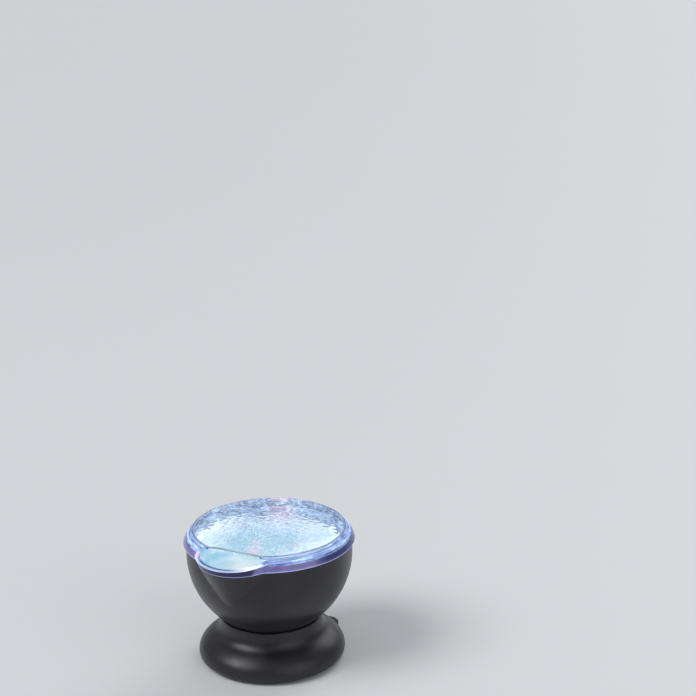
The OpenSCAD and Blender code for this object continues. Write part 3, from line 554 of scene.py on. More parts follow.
def lit_collar(colours, glow):
    """Light of the lamps on the inside of the bowl, above the dish."""
    def add(f):
        x, y, z = f.axes()
        within = f.times(f.band(f.reach(x, y), 58.8 * MM, 58 * MM), f.band(z, 86.5 * MM, 88.5 * MM))
        tone = f.blend(f.band(dish_streaks(f), 0.46, 0.56), colours.wall, colours.pale)
        f.set(Emission_Color=f.blend(within, BLACK, tone), Emission_Strength=COLLAR_LIGHT * glow)
    return add


def metal(name, colour, rough):
    """Plated or turned metal with fine drawn lines."""
    f = Finish(name)
    lines = f.noise(1.0, 4, 0.7, where=f.stretched((400, 400, 3000)))
    spots = f.noise(180, 3)
    f.set(Base_Color=f.blend(f.band(spots, 0.35, 0.75), scaled(colour, 0.86), scaled(colour, 1.08)))
    f.set(Roughness=f.band(lines, 0.3, 0.75, rough - 0.08, rough + 0.12), Metallic=1.0)
    return f.relief(lines, 0.006 * MM).material


def circuit(name, colour, trace):
    """Lacquered circuit board with copper tracks under the lacquer."""
    f = Finish(name)
    grid = f.add("ShaderNodeTexBrick", {
        "Vector": f.place, "Scale": 150, "Mortar Size": 0.035, "Color1": BLACK, "Color2": BLACK,
        "Mortar": (1, 1, 1)}, offset=0.37, squash=1.0)
    patch = f.band(f.noise(120, 2), 0.42, 0.5)
    tracks = f.times(grid.outputs["Color"], patch)
    weave = f.noise(1500, 2)
    f.set(Base_Color=f.blend(tracks, f.blend(weave, scaled(colour, 0.85), scaled(colour, 1.1)), trace))
    f.set(Roughness=f.band(weave, 0.3, 0.7, 0.26, 0.4), Coat_Weight=0.4)
    return f.relief(tracks, 0.03 * MM).material


def lamp(name, colour, strength):
    """Clear lamp resin with a lit heart."""
    f = Finish(name)
    heart = f.band(f.axes()[2], 73.5 * MM, 79.6 * MM, 0.45, 1.0)
    cloud = f.noise(900, 2)
    lit = f.times(heart, f.band(cloud, 0.2, 0.8, 0.8, 1.0))
    f.set(Base_Color=f.blend(cloud, scaled(colour, 0.9), colour), Roughness=0.18, Transmission_Weight=0.35)
    f.set(Emission_Color=f.blend(lit, BLACK, colour), Emission_Strength=strength)
    return f.material


def white_dish(colours, glow):
    """White dish that the lamps light: periwinkle streaks, cyan to the left and rose at the back."""
    f = Finish("white_dish")
    x, y, z = f.axes()
    streak = dish_streaks(f)
    light_fleck = f.noise(1.0, 3, 0.6, where=f.stretched((210, 210, 900)), warp=0.6)
    ragged = f.band(streak, 0.35, 0.65, -1.2 * MM, 1.2 * MM)
    foot = f.plus(f.band(y, 5 * MM, 45 * MM, 88.5 * MM, 85.5 * MM), ragged)
    up = f.band(f.minus(z, foot), -0.8 * MM, 0.6 * MM)
    tone = f.blend(f.band(streak, 0.45, 0.56), colours.wall, colours.pale)
    tone = f.over(tone, colours.cyan, f.spot(x, y, -50 * MM, 14 * MM, 34 * MM), 0.5)
    tone = f.over(tone, colours.rose, f.spot(x, y, -17 * MM, 50 * MM, 16 * MM), 0.9)
    tone = f.over(tone, colours.bright, f.band(light_fleck, 0.56, 0.68))
    tone = f.blend(up, colours.white, tone)
    # Painted shade on the dish's upper wall: dark blue base colour in place of white, with paler streaks of
    # painted light.
    wall = f.blend(streak, (0.02, 0.04, 0.12), (0.14, 0.20, 0.36))
    f.set(Base_Color=f.blend(up, (0.80, 0.82, 0.84), wall), Roughness=0.3)
    f.set(Emission_Color=tone, Emission_Strength=DISH_LIGHT * glow)
    return f.relief(f.noise(1800, 2), 0.01 * MM).material


def ripple_glow(colours, glow):
    """Lit ripple disc: white towards its rim, and cyan light broken into small facets in its middle."""
    f = Finish("ripple_glow")
    x, y, _ = f.axes()
    cloud = f.noise(38, 3, 0.5, warp=0.6)
    veil = f.noise(95, 4, 0.6, warp=1.4)
    sparkle = f.band(f.plus(f.cells(480), f.noise(760, 2, 0.6, warp=0.8)), 0.70, 1.05)
    inner = f.blend(f.band(cloud, 0.38, 0.66), colours.cyan, colours.bright)
    inner = f.over(inner, colours.green, f.band(veil, 0.55, 0.68), 0.5)
    inner = f.over(inner, colours.deep, sparkle, 0.85)
    outer = f.over(colours.white, colours.bright, f.band(cloud, 0.45, 0.7), 0.5)
    outer = f.over(outer, colours.cyan, sparkle, 0.25)
    ragged = f.band(veil, 0.3, 0.7, -6 * MM, 6 * MM)
    from_middle = f.plus(f.reach(f.plus(x, 4 * MM), f.plus(y, 6 * MM)), ragged)
    tone = f.blend(f.band(from_middle, 22 * MM, 38 * MM), inner, outer)
    tone = f.over(tone, colours.cyan, f.spot(x, y, 31 * MM, 20 * MM, 22 * MM), 0.95)
    streak = f.noise(1.0, 3, 0.5, where=f.stretched((85, 24, 1)), warp=0.9)
    tone = f.over(tone, colours.rose, f.band(streak, 0.60, 0.72), 0.45)
    for at_x, at_y, wide in ((0, -22 * MM, 10 * MM), (-6 * MM, -10 * MM, 8 * MM)):
        tone = f.over(tone, colours.rose, f.spot(x, y, at_x, at_y, wide), 0.8)
    f.set(Base_Color=f.blend(veil, (0.30, 0.42, 0.48), (0.44, 0.54, 0.58)), Roughness=0.22)
    f.set(Emission_Color=tone, Emission_Strength=DISC_LIGHT * glow)
    return f.material


def ripple_shade_and_glints(f, x, y, dome):
    """Painted shade and painted glints of the ripples: dark strokes and pale flecks, bold on the lens's far
    side, fine in its middle.
    """
    away = f.minus(f.times(y, 0.87), f.times(x, 0.49))
    far = f.times(f.band(away, -10 * MM, 30 * MM), dome)
    middle = f.band(f.reach(f.minus(x, 4 * MM), f.plus(y, 18 * MM)), 40 * MM, 22 * MM, 0.15, 1.0)
    near = f.times(f.minus(dome, far), middle)
    stroke = f.noise(210, 4, 0.62, warp=1.1)
    fine_ripple_noise = f.noise(300, 3, 0.6, warp=1.6)
    swirl = f.line(fine_ripple_noise, 0.5, 0.045, 0.015)
    dark = f.most(f.times(f.band(stroke, 0.49, 0.41), far, 0.8), f.times(swirl, near, 0.45))
    light_fleck = f.band(fine_ripple_noise, 0.56, 0.64)
    pale = f.most(f.times(f.band(stroke, 0.54, 0.63), far, 0.8), f.times(light_fleck, near, 0.35))
    return dark, pale


def skirt_zones(f, x, y, z, from_lip, sizes):
    """The skirt with the lip's upright side, and of these the lip's front and the far right, which both get
    painted shade.
    """
    rise = f.times(f.minus(y, COVER_LOW.y), math.tan(sizes.lip_turn))
    under_top = f.minus(f.minus(z, sizes.foot + sizes.lip_height), rise)
    past_wall = f.minus(from_lip, f.times(f.minus(z, sizes.foot), 0.4))
    side = f.times(f.band(under_top, -0.5 * MM, -1.1 * MM), f.band(past_wall, 26.6 * MM, 27.6 * MM),
                   f.band(y, -51 * MM, -54 * MM))
    skirt = f.most(f.band(z, 94.8 * MM, 94.2 * MM), side)
    front = f.times(f.band(f.plus(y, f.times(x, 0.02)), -61 * MM, -64 * MM), skirt)
    shaded_far_right = f.times(f.band(f.plus(x, f.times(y, 0.5)), 34 * MM, 50 * MM), skirt)
    return skirt, front, shaded_far_right


def ring_zones(f, radius, z, sizes):
    """The sloping ring, the two grooves scored into it, and the ledge under it."""
    ring = f.band(radius, 52.5 * MM, 56 * MM)
    groove = f.line(radius, sizes.lens_radius - 0.55 * sizes.groove, 0.6 * sizes.groove, 0.35 * sizes.groove)
    hairline = f.line(radius, sizes.lens_radius + sizes.hairline, 0.45 * sizes.groove, 0.2 * sizes.groove)
    scored = f.times(f.most(groove, f.times(hairline, 0.7)), f.band(z, 97.2 * MM, 97.6 * MM))
    ledge = f.times(f.band(radius, 56 * MM, 56.8 * MM), f.band(radius, 59.2 * MM, 58.6 * MM),
                    f.band(z, 97 * MM, 96.4 * MM))
    return ring, scored, ledge


def clear_cover(colours, sizes, axis, glow):
    """Clear plastic: a rippled lens, a sloping ring and skirt that carry the light, and a lip front darkened
    with painted shade.
    """
    f = Finish("clear_cover")
    x, y, z = f.axes()
    radius = f.reach(x, y)
    from_lip = f.reach(x, f.plus(y, axis))
    streak = f.noise(1.0, 4, 0.6, where=f.stretched((70, 70, 300)), warp=0.7)
    along_ring = f.vector(f.times(radius, 1100.0), f.times(f.math("DIVIDE", x, radius), 5.0),
                          f.times(f.math("DIVIDE", y, radius), 5.0))
    lines = f.band(f.noise(1.0, 3, 0.6, where=along_ring, warp=0.3), 0.35, 0.65)
    ring, scored, ledge = ring_zones(f, radius, z, sizes)
    skirt, front, shaded_far_right = skirt_zones(f, x, y, z, from_lip, sizes)
    dark, pale = ripple_shade_and_glints(f, x, y, f.band(radius, 54.5 * MM, 53.5 * MM))
    lip_rim_highlight = f.times(f.band(from_lip, 28 * MM, 28.7 * MM), f.band(y, -54 * MM, -58 * MM))
    warm = f.times(f.spot(x, y, 17 * MM, -64.5 * MM, 13 * MM), f.band(z, 95 * MM, 95.6 * MM))
    ledge_light = f.blend(f.band(streak, 0.46, 0.56), colours.wall, scaled(colours.pale, 0.8))

    light = f.blend(lines, scaled(colours.ring, 0.06), scaled(colours.ring, 0.34))
    light = f.blend(ring, scaled(colours.cyan, 0.1), light)
    # Painted glints: pale flecks of the ripples in the emission.
    light = f.over(light, scaled(colours.pale, 0.62), pale)
    light = f.over(light, colours.rose, f.spot(x, y, -20 * MM, 55.5 * MM, 12 * MM), 0.55)
    # Painted shade: the grooves get a dimmer glow.
    light = f.over(light, scaled(colours.ring, 0.1), scored)
    # Painted highlight: a pale line of light along the lip's rim.
    light = f.over(light, scaled(colours.pale, 0.8), lip_rim_highlight)
    light = f.over(light, colours.warm, warm, 0.8)
    light = f.over(light, f.blend(streak, scaled(colours.skirt, 0.35), scaled(colours.skirt, 0.7)), skirt)
    light = f.over(light, colours.rose, f.spot(x, y, -25 * MM, -58.5 * MM, 6 * MM), 0.5)
    # Painted shade: the lip's front gets only a faint dark glow.
    light = f.over(light, scaled(colours.lip_front_shade, 0.3), front)
    # Painted shade: the skirt's far right gets only a dim glow.
    light = f.over(light, scaled(colours.ring, 0.06), shaded_far_right)
    light = f.over(light, ledge_light, ledge)
    light = f.over(light, colours.edge, f.band(z, 91.3 * MM, 90.6 * MM), 0.5)
    f.set(Emission_Color=light, Emission_Strength=glow)

    body = f.blend(streak, (0.90, 0.96, 1.0), (0.97, 0.99, 1.0))
    # Painted shade: dark navy strokes of the ripples in the lens's base colour.
    body = f.over(body, (0.06, 0.15, 0.44), dark)
    body = f.over(body, f.blend(lines, (0.36, 0.44, 0.62), (0.66, 0.74, 0.92)), ring)
    # Painted shade: the grooves darkened in the base colour.
    body = f.over(body, (0.14, 0.20, 0.32), scored)
    # Base colour of the skirt: the violet of its painted glow, turning to painted shade, dark navy, on the
    # far right.
    body = f.over(body, f.blend(shaded_far_right, colours.skirt, (0.02, 0.03, 0.15)), skirt)
    # Painted shade: dark navy base colour on the lip's clear front.
    body = f.over(body, colours.lip_front_shade, front)
    # Less transmission where light and shade are painted: the skirt, ring and ledge for their painted glow,
    # the lip front and the grooves for their painted shade.
    dense = f.plus(f.times(skirt, 0.7), f.times(front, 0.28))
    dense = f.most(dense, f.times(ledge, 0.8), f.times(ring, 0.12), f.times(scored, 0.6))
    f.set(Base_Color=body, Roughness=0.035, IOR=CLEAR_IOR, Transmission_Weight=f.minus(1.0, dense))
    f.material.cycles.emission_sampling = "NONE"
    return f.material


def clear_button(colours, glow):
    """Clear button, sky blue with a warm spot where a lamp stands behind it."""
    f = Finish("clear_button")
    x, y, _ = f.axes()
    cloud = f.noise(90, 3, 0.5, warp=0.4)
    tone = f.blend(f.band(cloud, 0.35, 0.7), colours.button, colours.bright)
    tone = f.over(tone, colours.warm, f.spot(x, y, 15 * MM, -64 * MM, 25 * MM))
    f.set(Base_Color=f.blend(cloud, (0.32, 0.54, 0.66), (0.52, 0.68, 0.76)), IOR=CLEAR_IOR)
    f.set(Roughness=f.band(cloud, 0.3, 0.7, 0.05, 0.12), Transmission_Weight=0.35)
    f.set(Emission_Color=tone, Emission_Strength=BUTTON_LIGHT * glow)
    f.material.cycles.emission_sampling = "NONE"
    return f.material


def floor_finish(colours):
    """Plain pale floor, hardly clouded."""
    f = Finish("pale_floor")
    cloud = f.noise(0.8, 3)
    f.set(Base_Color=f.blend(cloud, scaled(colours.floor, 0.985), colours.floor), Roughness=0.55)
    return f.material


class NodeTree(Wiring):
    """A Geometry Nodes tree while it is made."""

    def __init__(self, name):
        self.tree = bpy.data.node_groups.new(name, "GeometryNodeTree")
        self.tree.interface.new_socket("Geometry", in_out="OUTPUT", socket_type="NodeSocketGeometry")
        self.inlet = self.tree.nodes.new("NodeGroupInput")
        self.outlet = self.tree.nodes.new("NodeGroupOutput")
        self.keys = {}

    def input(self, name, kind="NodeSocketFloat"):
        item = self.tree.interface.new_socket(name, in_out="INPUT", socket_type=kind)
        self.keys[name] = item.identifier
        return next(s for s in self.inlet.outputs if s.identifier == item.identifier)

    def index(self):
        return self.add("GeometryNodeInputIndex").outputs[0]

    def moved(self, geometry, spot):
        return self.add("GeometryNodeSetPosition", {"Geometry": geometry, "Position": spot}).outputs[0]

    def copies(self, number, spot, angle, shape):
        """Copies of an object at the given spots, each turned about the upright axis."""
        points = self.add("GeometryNodePoints", {"Count": number}).outputs[0]
        facing = self.add("FunctionNodeEulerToRotation", {"Euler": self.vector(0.0, 0.0, angle)})
        source = self.add("GeometryNodeObjectInfo", {"Object": shape})
        return self.add("GeometryNodeInstanceOnPoints", {
            "Points": self.moved(points, spot), "Instance": source.outputs["Geometry"],
            "Rotation": facing.outputs[0]}).outputs[0]

    def finish(self, geometry, material):
        """Ends the tree in plain geometry with its material."""
        real = self.add("GeometryNodeRealizeInstances", {"Geometry": geometry})
        done = self.add("GeometryNodeSetMaterial", {"Geometry": real.outputs[0], "Material": material})
        self.tree.links.new(done.outputs[0], self.outlet.inputs[0])

    def run(self, name, **values):
        """An object with the plain mesh that this tree makes from the given inputs."""
        obj = place(name, bpy.data.meshes.new(name))
        modifier = obj.modifiers.new(name, "NODES")
        modifier.node_group = self.tree
        for key, value in values.items():
            modifier[self.keys[key]] = value
        return plain_mesh(obj)


class PROJECTOR_OT_stage(bpy.types.Operator):
    """Pale floor, soft studio light and the camera"""
    bl_idname = "projector.stage"
    bl_label = "Stage"

    def execute(self, context):
        settings = context.scene.projector.stage
        colours = context.scene.projector.colours
        reach, below = 30.0, 0.1 * MM
        corners = [(reach * x, reach * y, -below) for x, y in ((-1, -1), (1, -1), (1, 1), (-1, 1))]
        mesh = bpy.data.meshes.new("floor")
        mesh.from_pydata(corners, [], [(0, 1, 2, 3)])
        floor = place("floor", mesh)
        mesh.materials.append(floor_finish(colours))
        self.lights(context, settings)
        self.camera(context, settings)
        context.scene.view_settings.view_transform = "Standard"
        return {"FINISHED"}

    def lights(self, context, settings):
        world = bpy.data.worlds.new("studio")
        context.scene.world = world
        world.use_nodes = True
        sky = world.node_tree.nodes["Background"]
        sky.inputs["Color"].default_value = (0.92, 0.95, 1.0, 1.0)
        sky.inputs["Strength"].default_value = settings.room
        for name, where, power, degrees in (
                ("key", (-0.65, -0.75, 1.05), settings.key, 30),
                ("fill", (0.95, -0.35, 0.55), settings.fill, 50),
                ("back", (0.1, 1.05, 0.75), settings.back, 40)):
            lamp_data = bpy.data.lights.new(name, "SUN")
            lamp_data.energy, lamp_data.angle = power, math.radians(degrees)
            lamp_object = bpy.data.objects.new(name, lamp_data)
            context.scene.collection.objects.link(lamp_object)
            lamp_object.location = where
            lamp_object.rotation_euler = (-Vector(where)).to_track_quat("-Z", "Y").to_euler()

    def camera(self, context, settings):
        camera = bpy.data.objects.new("camera", bpy.data.cameras.new("camera"))
        context.scene.collection.objects.link(camera)
        camera.data.lens, camera.data.sensor_width = settings.focal, 36.0
        camera.data.clip_start, camera.data.clip_end = 0.01, 100.0
        a, fall, roll = settings.heading, settings.fall, settings.roll
        ahead = Vector((math.sin(a) * math.cos(fall), math.cos(a) * math.cos(fall), -math.sin(fall)))
        level = Vector((math.cos(a), -math.sin(a), 0))
        upright = level.cross(ahead)
        right = math.cos(roll) * level + math.sin(roll) * upright
        up = right.cross(ahead)
        frame_axes = Matrix((right, up, -ahead)).transposed().to_4x4()
        camera.matrix_world = Matrix.Translation(settings.camera) @ frame_axes
        context.scene.camera = camera


class PROJECTOR_OT_base(bpy.types.Operator):
    """Domed base with its collar, seat, sound slots and socket openings"""
    bl_idname = "projector.base"
    bl_label = "Base"

    def execute(self, context):
        s, head = context.scene.projector.base, context.scene.projector.head
        mesh = skin("base_housing", self.rows(s, head), loop=True)
        housing = place("base_housing", mesh)
        for cutter in self.openings(s):
            carve(housing, cutter)
        carve(housing, self.sound_slots(s))
        shade(housing.data, 30)
        black = moulded("satin_black_base", context.scene.projector.colours.body, 0.36, sheen=0.06)
        finish_piece(housing, black, "base", "black_plastic", "base_shell")
        return {"FINISHED"}

    def rows(self, s, head):
        seat = head.radius + s.seat_gap
        collar_in = math.sqrt(seat ** 2 - (head.pivot - s.collar_top) ** 2)
        collar_out = collar_in + s.collar
        join = collar_out + s.cove
        end = math.acos(join / s.radius)
        slope = s.dome / s.radius / math.tan(end)
        join_z = s.waist + s.dome * math.sin(end)
        corner_z = join_z + s.cove * slope
        outer = [(s.plate_hole, s.foot, 0.3 * MM), (s.radius - s.tuck, s.foot, 0.6 * MM)]
        for t in np.radians(np.linspace(-60, 0, 8)):
            r, z = s.radius - s.tuck + s.tuck * math.cos(t), s.waist + (s.waist - s.foot) * math.sin(t)
            outer.append((r, z, 0))
        for t in np.linspace(0, end, 40)[1:]:
            outer.append((s.radius * math.cos(t), s.waist + s.dome * math.sin(t), 0))
        wall_z = corner_z + 0.6 * (s.collar_top - corner_z)
        for r, z in curve((join, join_z), (collar_out, corner_z), (collar_out, wall_z), 18)[1:]:
            outer.append((r, z, 0))
        outer += [(collar_out, s.collar_top, 0.7 * MM), (collar_in, s.collar_top, 0.35 * MM)]
        for r in np.linspace(collar_in, s.stud_hole, 26)[1:]:
            outer.append((r, head.pivot - math.sqrt(seat ** 2 - r ** 2), 0))
        cup = seat + s.wall
        inner_r, inner_h = s.radius - s.wall, s.dome - s.wall
        inside = [(s.stud_hole, s.stud_low, 0), (s.stud_pad, s.stud_low, 0)]
        stop = collar_out - s.wall
        for r in np.linspace(s.stud_pad, stop, 12):
            inside.append((r, head.pivot - math.sqrt(cup ** 2 - r ** 2), 0))
        for r in np.linspace(stop, s.plate_hole, 14):
            inside.append((r, s.waist + inner_h * math.sqrt(max(0.0, 1 - (r / inner_r) ** 2)), 0))
        profile = round_corners(outer + inside)
        columns = np.linspace(0, FULL_TURN, 192, endpoint=False)
        return [around(columns, r, z) for r, z in profile]

    def openings(self, s):
        """Cutters for the sockets and controls, from the places of their CAD nodes."""
        def at_back(step):
            return Matrix.Rotation(step * s.step, 4, "Z")

        def middle(node):
            low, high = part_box(node)
            return (low + high) / 2

        far, near = s.radius + 10 * MM, s.radius - 12 * MM
        gap = 0.3 * MM
        lie = Matrix.Rotation(math.radians(-90), 4, "X")
        audio = Matrix.Translation((0, 0, middle("audio_jack").z))
        yield rod("audio_cut", 2.5 * MM + gap, near, far, at_back(-0.5) @ audio @ lie)
        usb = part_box("usb_socket")
        half = 3.85 * MM + gap
        yield block("usb_cut", (-half, near, usb[0].z - gap), (half, far, usb[1].z + gap),
                    at_back(0.5), 1.1 * MM)
        wheel, hub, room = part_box("volume_wheel"), middle("volume_wheel"), 0.5 * MM
        reach = (wheel[1].x - wheel[0].x) / 2 + room
        yield rod("wheel_cut", reach, wheel[0].z - room, wheel[1].z + room,
                  Matrix.Translation((hub.x, hub.y, 0)))
        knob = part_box("power_slider")
        half = 2.75 * MM + gap
        yield block("slider_cut", (-half, near, knob[0].z - gap), (half, far, knob[1].z + gap),
                    at_back(1.5), 0.5 * MM)

    def sound_slots(self, s):
        """Cutters of the sound slots, spread along the back."""
        deep, half = 6 * MM, s.slot_wide / 2
        bar = block("slot_bar", (-half, -deep, 0), (half, deep, s.slot_high - s.slot_low),
                    Matrix.Identity(4), s.slot_wide * 0.48)
        nodes = NodeTree("sound_slots")
        number = nodes.input("Slots", "NodeSocketInt")
        step, radius, height = (nodes.input(n) for n in ("Step", "Radius", "Height"))
        shape = nodes.input("Slot", "NodeSocketObject")
        material = nodes.input("Material", "NodeSocketMaterial")
        centre = nodes.times(nodes.minus(number, 1.0), 0.5)
        angle = nodes.times(nodes.minus(nodes.index(), centre), step)
        spot = nodes.vector(nodes.times(nodes.math("SINE", angle), nodes.times(radius, -1.0)),
                            nodes.times(nodes.math("COSINE", angle), radius), height)
        nodes.finish(nodes.copies(number, spot, angle, shape), material)
        cutter = nodes.run("slot_cut", Slots=s.slots, Step=s.slot_turn, Radius=s.radius - deep,
                           Height=s.slot_low, Slot=bar)
        bpy.data.objects.remove(bar)
        tidy(cutter.data)
        return cutter


class PROJECTOR_OT_bowl(bpy.types.Operator):
    """Round bowl whose spout grows out of it under the lip"""
    bl_idname = "projector.bowl"
    bl_label = "Bowl"

    def execute(self, context):
        s, cover = context.scene.projector.head, context.scene.projector.cover
        bowl = place("bowl", skin("bowl", self.rows(s, cover)))
        carve(bowl, self.tilt_slot(s))
        shade(bowl.data, 35)
        colours = context.scene.projector.colours
        glow = lit_collar(colours, context.scene.projector.stage.glow)
        black = moulded("satin_black_bowl", colours.body, 0.33, sheen=0.06, lit=glow)
        finish_piece(bowl, black, "head", "black_plastic", "head_bowl")
        return {"FINISHED"}

    def spout(self, s, z, top):
        """Radius of the spout at height z: a cone that runs down along the ball and sinks into it."""
        touch = s.radius - s.spout_sink
        tip = (s.spout_axis + s.spout_top, top - s.pivot)
        lean = math.acos(touch / math.hypot(*tip)) - math.atan2(tip[1], tip[0])
        foot, low = touch * math.cos(lean) - s.spout_axis, s.pivot - touch * math.sin(lean)
        climb = (z - low) / (top - low)
        return foot + (s.spout_top - foot) * climb if climb > 0 else 0.0

    def level(self, s, columns, z, top, inset):
        """One row of the bowl's outside, or of its inside where inset is the wall."""
        ball = s.radius - inset
        round_r = ball if z >= s.pivot else math.sqrt(max(0.0, ball ** 2 - (z - s.pivot) ** 2))
        spout_r = max(0.0, self.spout(s, z, top) - inset * 1.06)
        return flare_outline(wrapped(columns), round_r, s.spout_axis, spout_r, s.spout_blend)

    def rows(self, s, cover):
        columns = lip_angles()
        top = cover.foot
        rows = [[(0, 0, s.pivot - s.radius)]]

        def shell(heights, inset):
            for z in heights:
                rows.append(around(columns, self.level(s, columns, z, top, inset), z))

        shell([s.pivot + s.radius * math.sin(t) for t in np.radians(np.linspace(-90, 0, 61)[1:])], 0)
        shell(np.linspace(s.pivot, top - s.edge, 7)[1:], 0)
        rim = self.level(s, columns, top, top, 0)
        hollow = self.level(s, columns, top, top, s.wall)
        collar = np.maximum(s.radius - s.spigot_gap, hollow)
        rise = (BOWL_HIGH.z - top) * np.clip((collar - hollow) / (s.wall - s.spigot_gap), 0, 1)
        bevel = 0.3 * s.edge
        for r, z in ((rim - bevel, top - bevel), (np.maximum(rim - s.edge, collar), top), (collar, top),
                     (collar, top + rise), (hollow, top + rise), (hollow, top)):
            rows.append(around(columns, r, z))
        shell(np.linspace(top, s.pivot, 7)[1:], s.wall)
        ball = s.radius - s.wall
        shell([s.pivot + ball * math.sin(t) for t in np.radians(np.linspace(0, -90, 41)[1:-1])], s.wall)
        rows.append([(0, 0, s.pivot - s.radius + s.wall)])
        return rows

    def tilt_slot(self, s):
        """Cutter for the way of the stud as the head tilts."""
        start = -s.slot_turn
        end = math.radians(TILT["range_deg"][1]) + s.slot_turn
        low, high = s.radius - s.wall - 2 * MM, s.radius + 2 * MM
        half = s.slot_half
        section = ((-half, low), (half, low), (half, high), (-half, high))
        rows = [[(x, r * math.sin(a), s.pivot - r * math.cos(a)) for x, r in section]
                for a in np.linspace(start, end, 24)]
        return place("slot_cut", skin("slot_cut", rows, caps=True))


class PROJECTOR_OT_cover(bpy.types.Operator):
    """Clear cover: skirt, sloping ring, groove, rippled lens and the lip with its pocket"""
    bl_idname = "projector.cover"
    bl_label = "Clear cover"

    def execute(self, context):
        everything = context.scene.projector
        s, head, button = everything.cover, everything.head, everything.button
        cover = place("clear_cover", skin("clear_cover", self.rows(s, head, button)))
        carve(cover, self.back_wall(s, button), "UNION")
        carve(cover, self.pocket(s, head, button))
        shade(cover.data, 38)
        glass = clear_cover(everything.colours, s, head.spout_axis, everything.stage.glow)
        finish_piece(cover, glass, "head", "clear_plastic", "lens_cover")
        return {"FINISHED"}

    def lens_foot(self, s):
        """Height of the lens's edge on the ring."""
        return COVER_HIGH.z - s.lens_rise

    def ripples(self, x, y):
        """Crossing ripples, between about -1 and 1."""
        total = np.zeros(np.broadcast(x, y).shape)
        bend_x = x + 1.1 * MM * np.sin(y / (5.3 * MM) + 0.7)
        bend_y = y + 1.1 * MM * np.sin(x / (4.7 * MM) + 1.9)
        golden = math.radians(137.5)
        for i in range(7):
            length = 6.2 * MM * 0.87 ** i
            along = bend_x * math.cos(i * golden) + bend_y * math.sin(i * golden)
            total = total + 0.34 * np.sin(FULL_TURN * along / length + 2.4 * i)
        return total

    def ring_height(self, s, r, inset=0.0):
        """Height of lens and ring at radius r, or of their underside where inset is the wall."""
        foot = self.lens_foot(s)
        ball = (s.lens_radius ** 2 + s.lens_rise ** 2) / (2 * s.lens_rise)
        dome = COVER_HIGH.z - ball + np.sqrt((ball - inset) ** 2 - np.minimum(r, s.lens_radius) ** 2)
        ring = foot - (r - s.lens_radius) * math.tan(s.ring_turn)
        height = np.where(r <= s.lens_radius, dome, ring)
        if inset == 0.0:
            dip = ease(r, s.lens_radius - 1.35 * s.groove, s.lens_radius - 0.9 * s.groove)
            dip = dip * (1 - ease(r, s.lens_radius - 0.15 * s.groove, s.lens_radius + 0.25 * s.groove))
            fine = np.abs(r - s.lens_radius - s.hairline) / s.groove
            height = height - s.groove * (dip + 0.5 * (1 - ease(fine, 0.1, 0.5)))
        return height

    def lip_top(self, s, y):
        """Height of the lip's sloping top at y."""
        return s.foot + s.lip_height + (y - COVER_LOW.y) * math.tan(s.lip_turn)

    def outside(self, s, head, x, y):
        """Height of the cover's top."""
        r = np.hypot(x, y)
        ends = ease(y, -head.spout_axis - 0.7 * s.lip_radius, -head.spout_axis - 0.36 * s.lip_radius)
        past = np.hypot(x, y + head.spout_axis) - s.lip_radius + s.lip_drop * ends
        lip = self.lip_top(s, y) - s.lip_fall * np.maximum(past, 0)
        lip = np.where(y < -0.5 * s.lens_radius, lip, s.foot)
        height = smooth_max(self.ring_height(s, r), lip, 0.35 * MM)
        calm = 1 - ease(r, s.lens_radius - 4 * MM, s.lens_radius - 1.2 * MM)
        return height + s.skin_ripple * calm * self.ripples(x, y)

    def inside(self, s, head, button, x, y):
        """Height of the cover's hollow."""
        r = np.hypot(x, y)
        foot = self.lens_foot(s) - s.wall
        under = self.ring_height(s, r, s.wall)
        root = s.lens_radius - 2 * MM
        slope = foot - (r - root) * math.tan(s.ring_turn) * 0.53
        under = np.where(r <= root, np.maximum(under, foot), slope)
        step = ease(r, s.ledge - 0.15 * MM, s.ledge + 0.15 * MM)
        under = under * (1 - step) + BOWL_HIGH.z * step
        past = np.hypot(x, y + head.spout_axis) - (s.lip_radius - s.wall)
        behind = y + button.back - 2 * MM
        lip = self.lip_top(s, y) - s.wall - s.lip_fall * (np.maximum(past, 0) + np.maximum(behind, 0))
        height = smooth_max(under, lip, 0.25 * MM)
        calm = 1 - ease(r, root - 4 * MM, root - 0.6 * MM)
        return height + s.ripple * calm * self.ripples(y + 3 * MM, x)

    def rows(self, s, head, button):
        columns = lip_angles()
        a = wrapped(columns)
        axis = head.spout_axis
        foot = flare_outline(a, s.radius, axis, head.spout_top, s.lip_blend)
        top = flare_outline(a, s.radius - s.lean, axis, s.lip_radius, s.top_blend)
        in_foot = flare_outline(a, s.radius - s.wall, axis, head.spout_top - s.wall, s.lip_blend)
        in_top = flare_outline(a, s.radius - s.wall, axis, s.lip_radius - s.wall, s.top_blend)

        def up(r):
            return self.outside(s, head, r * np.sin(columns), -r * np.cos(columns))

        def down(r):
            return self.inside(s, head, button, r * np.sin(columns), -r * np.cos(columns))

        def steps(start, end, number):
            return [start + (end - start) * t for t in np.linspace(0, 1, number)[1:]]

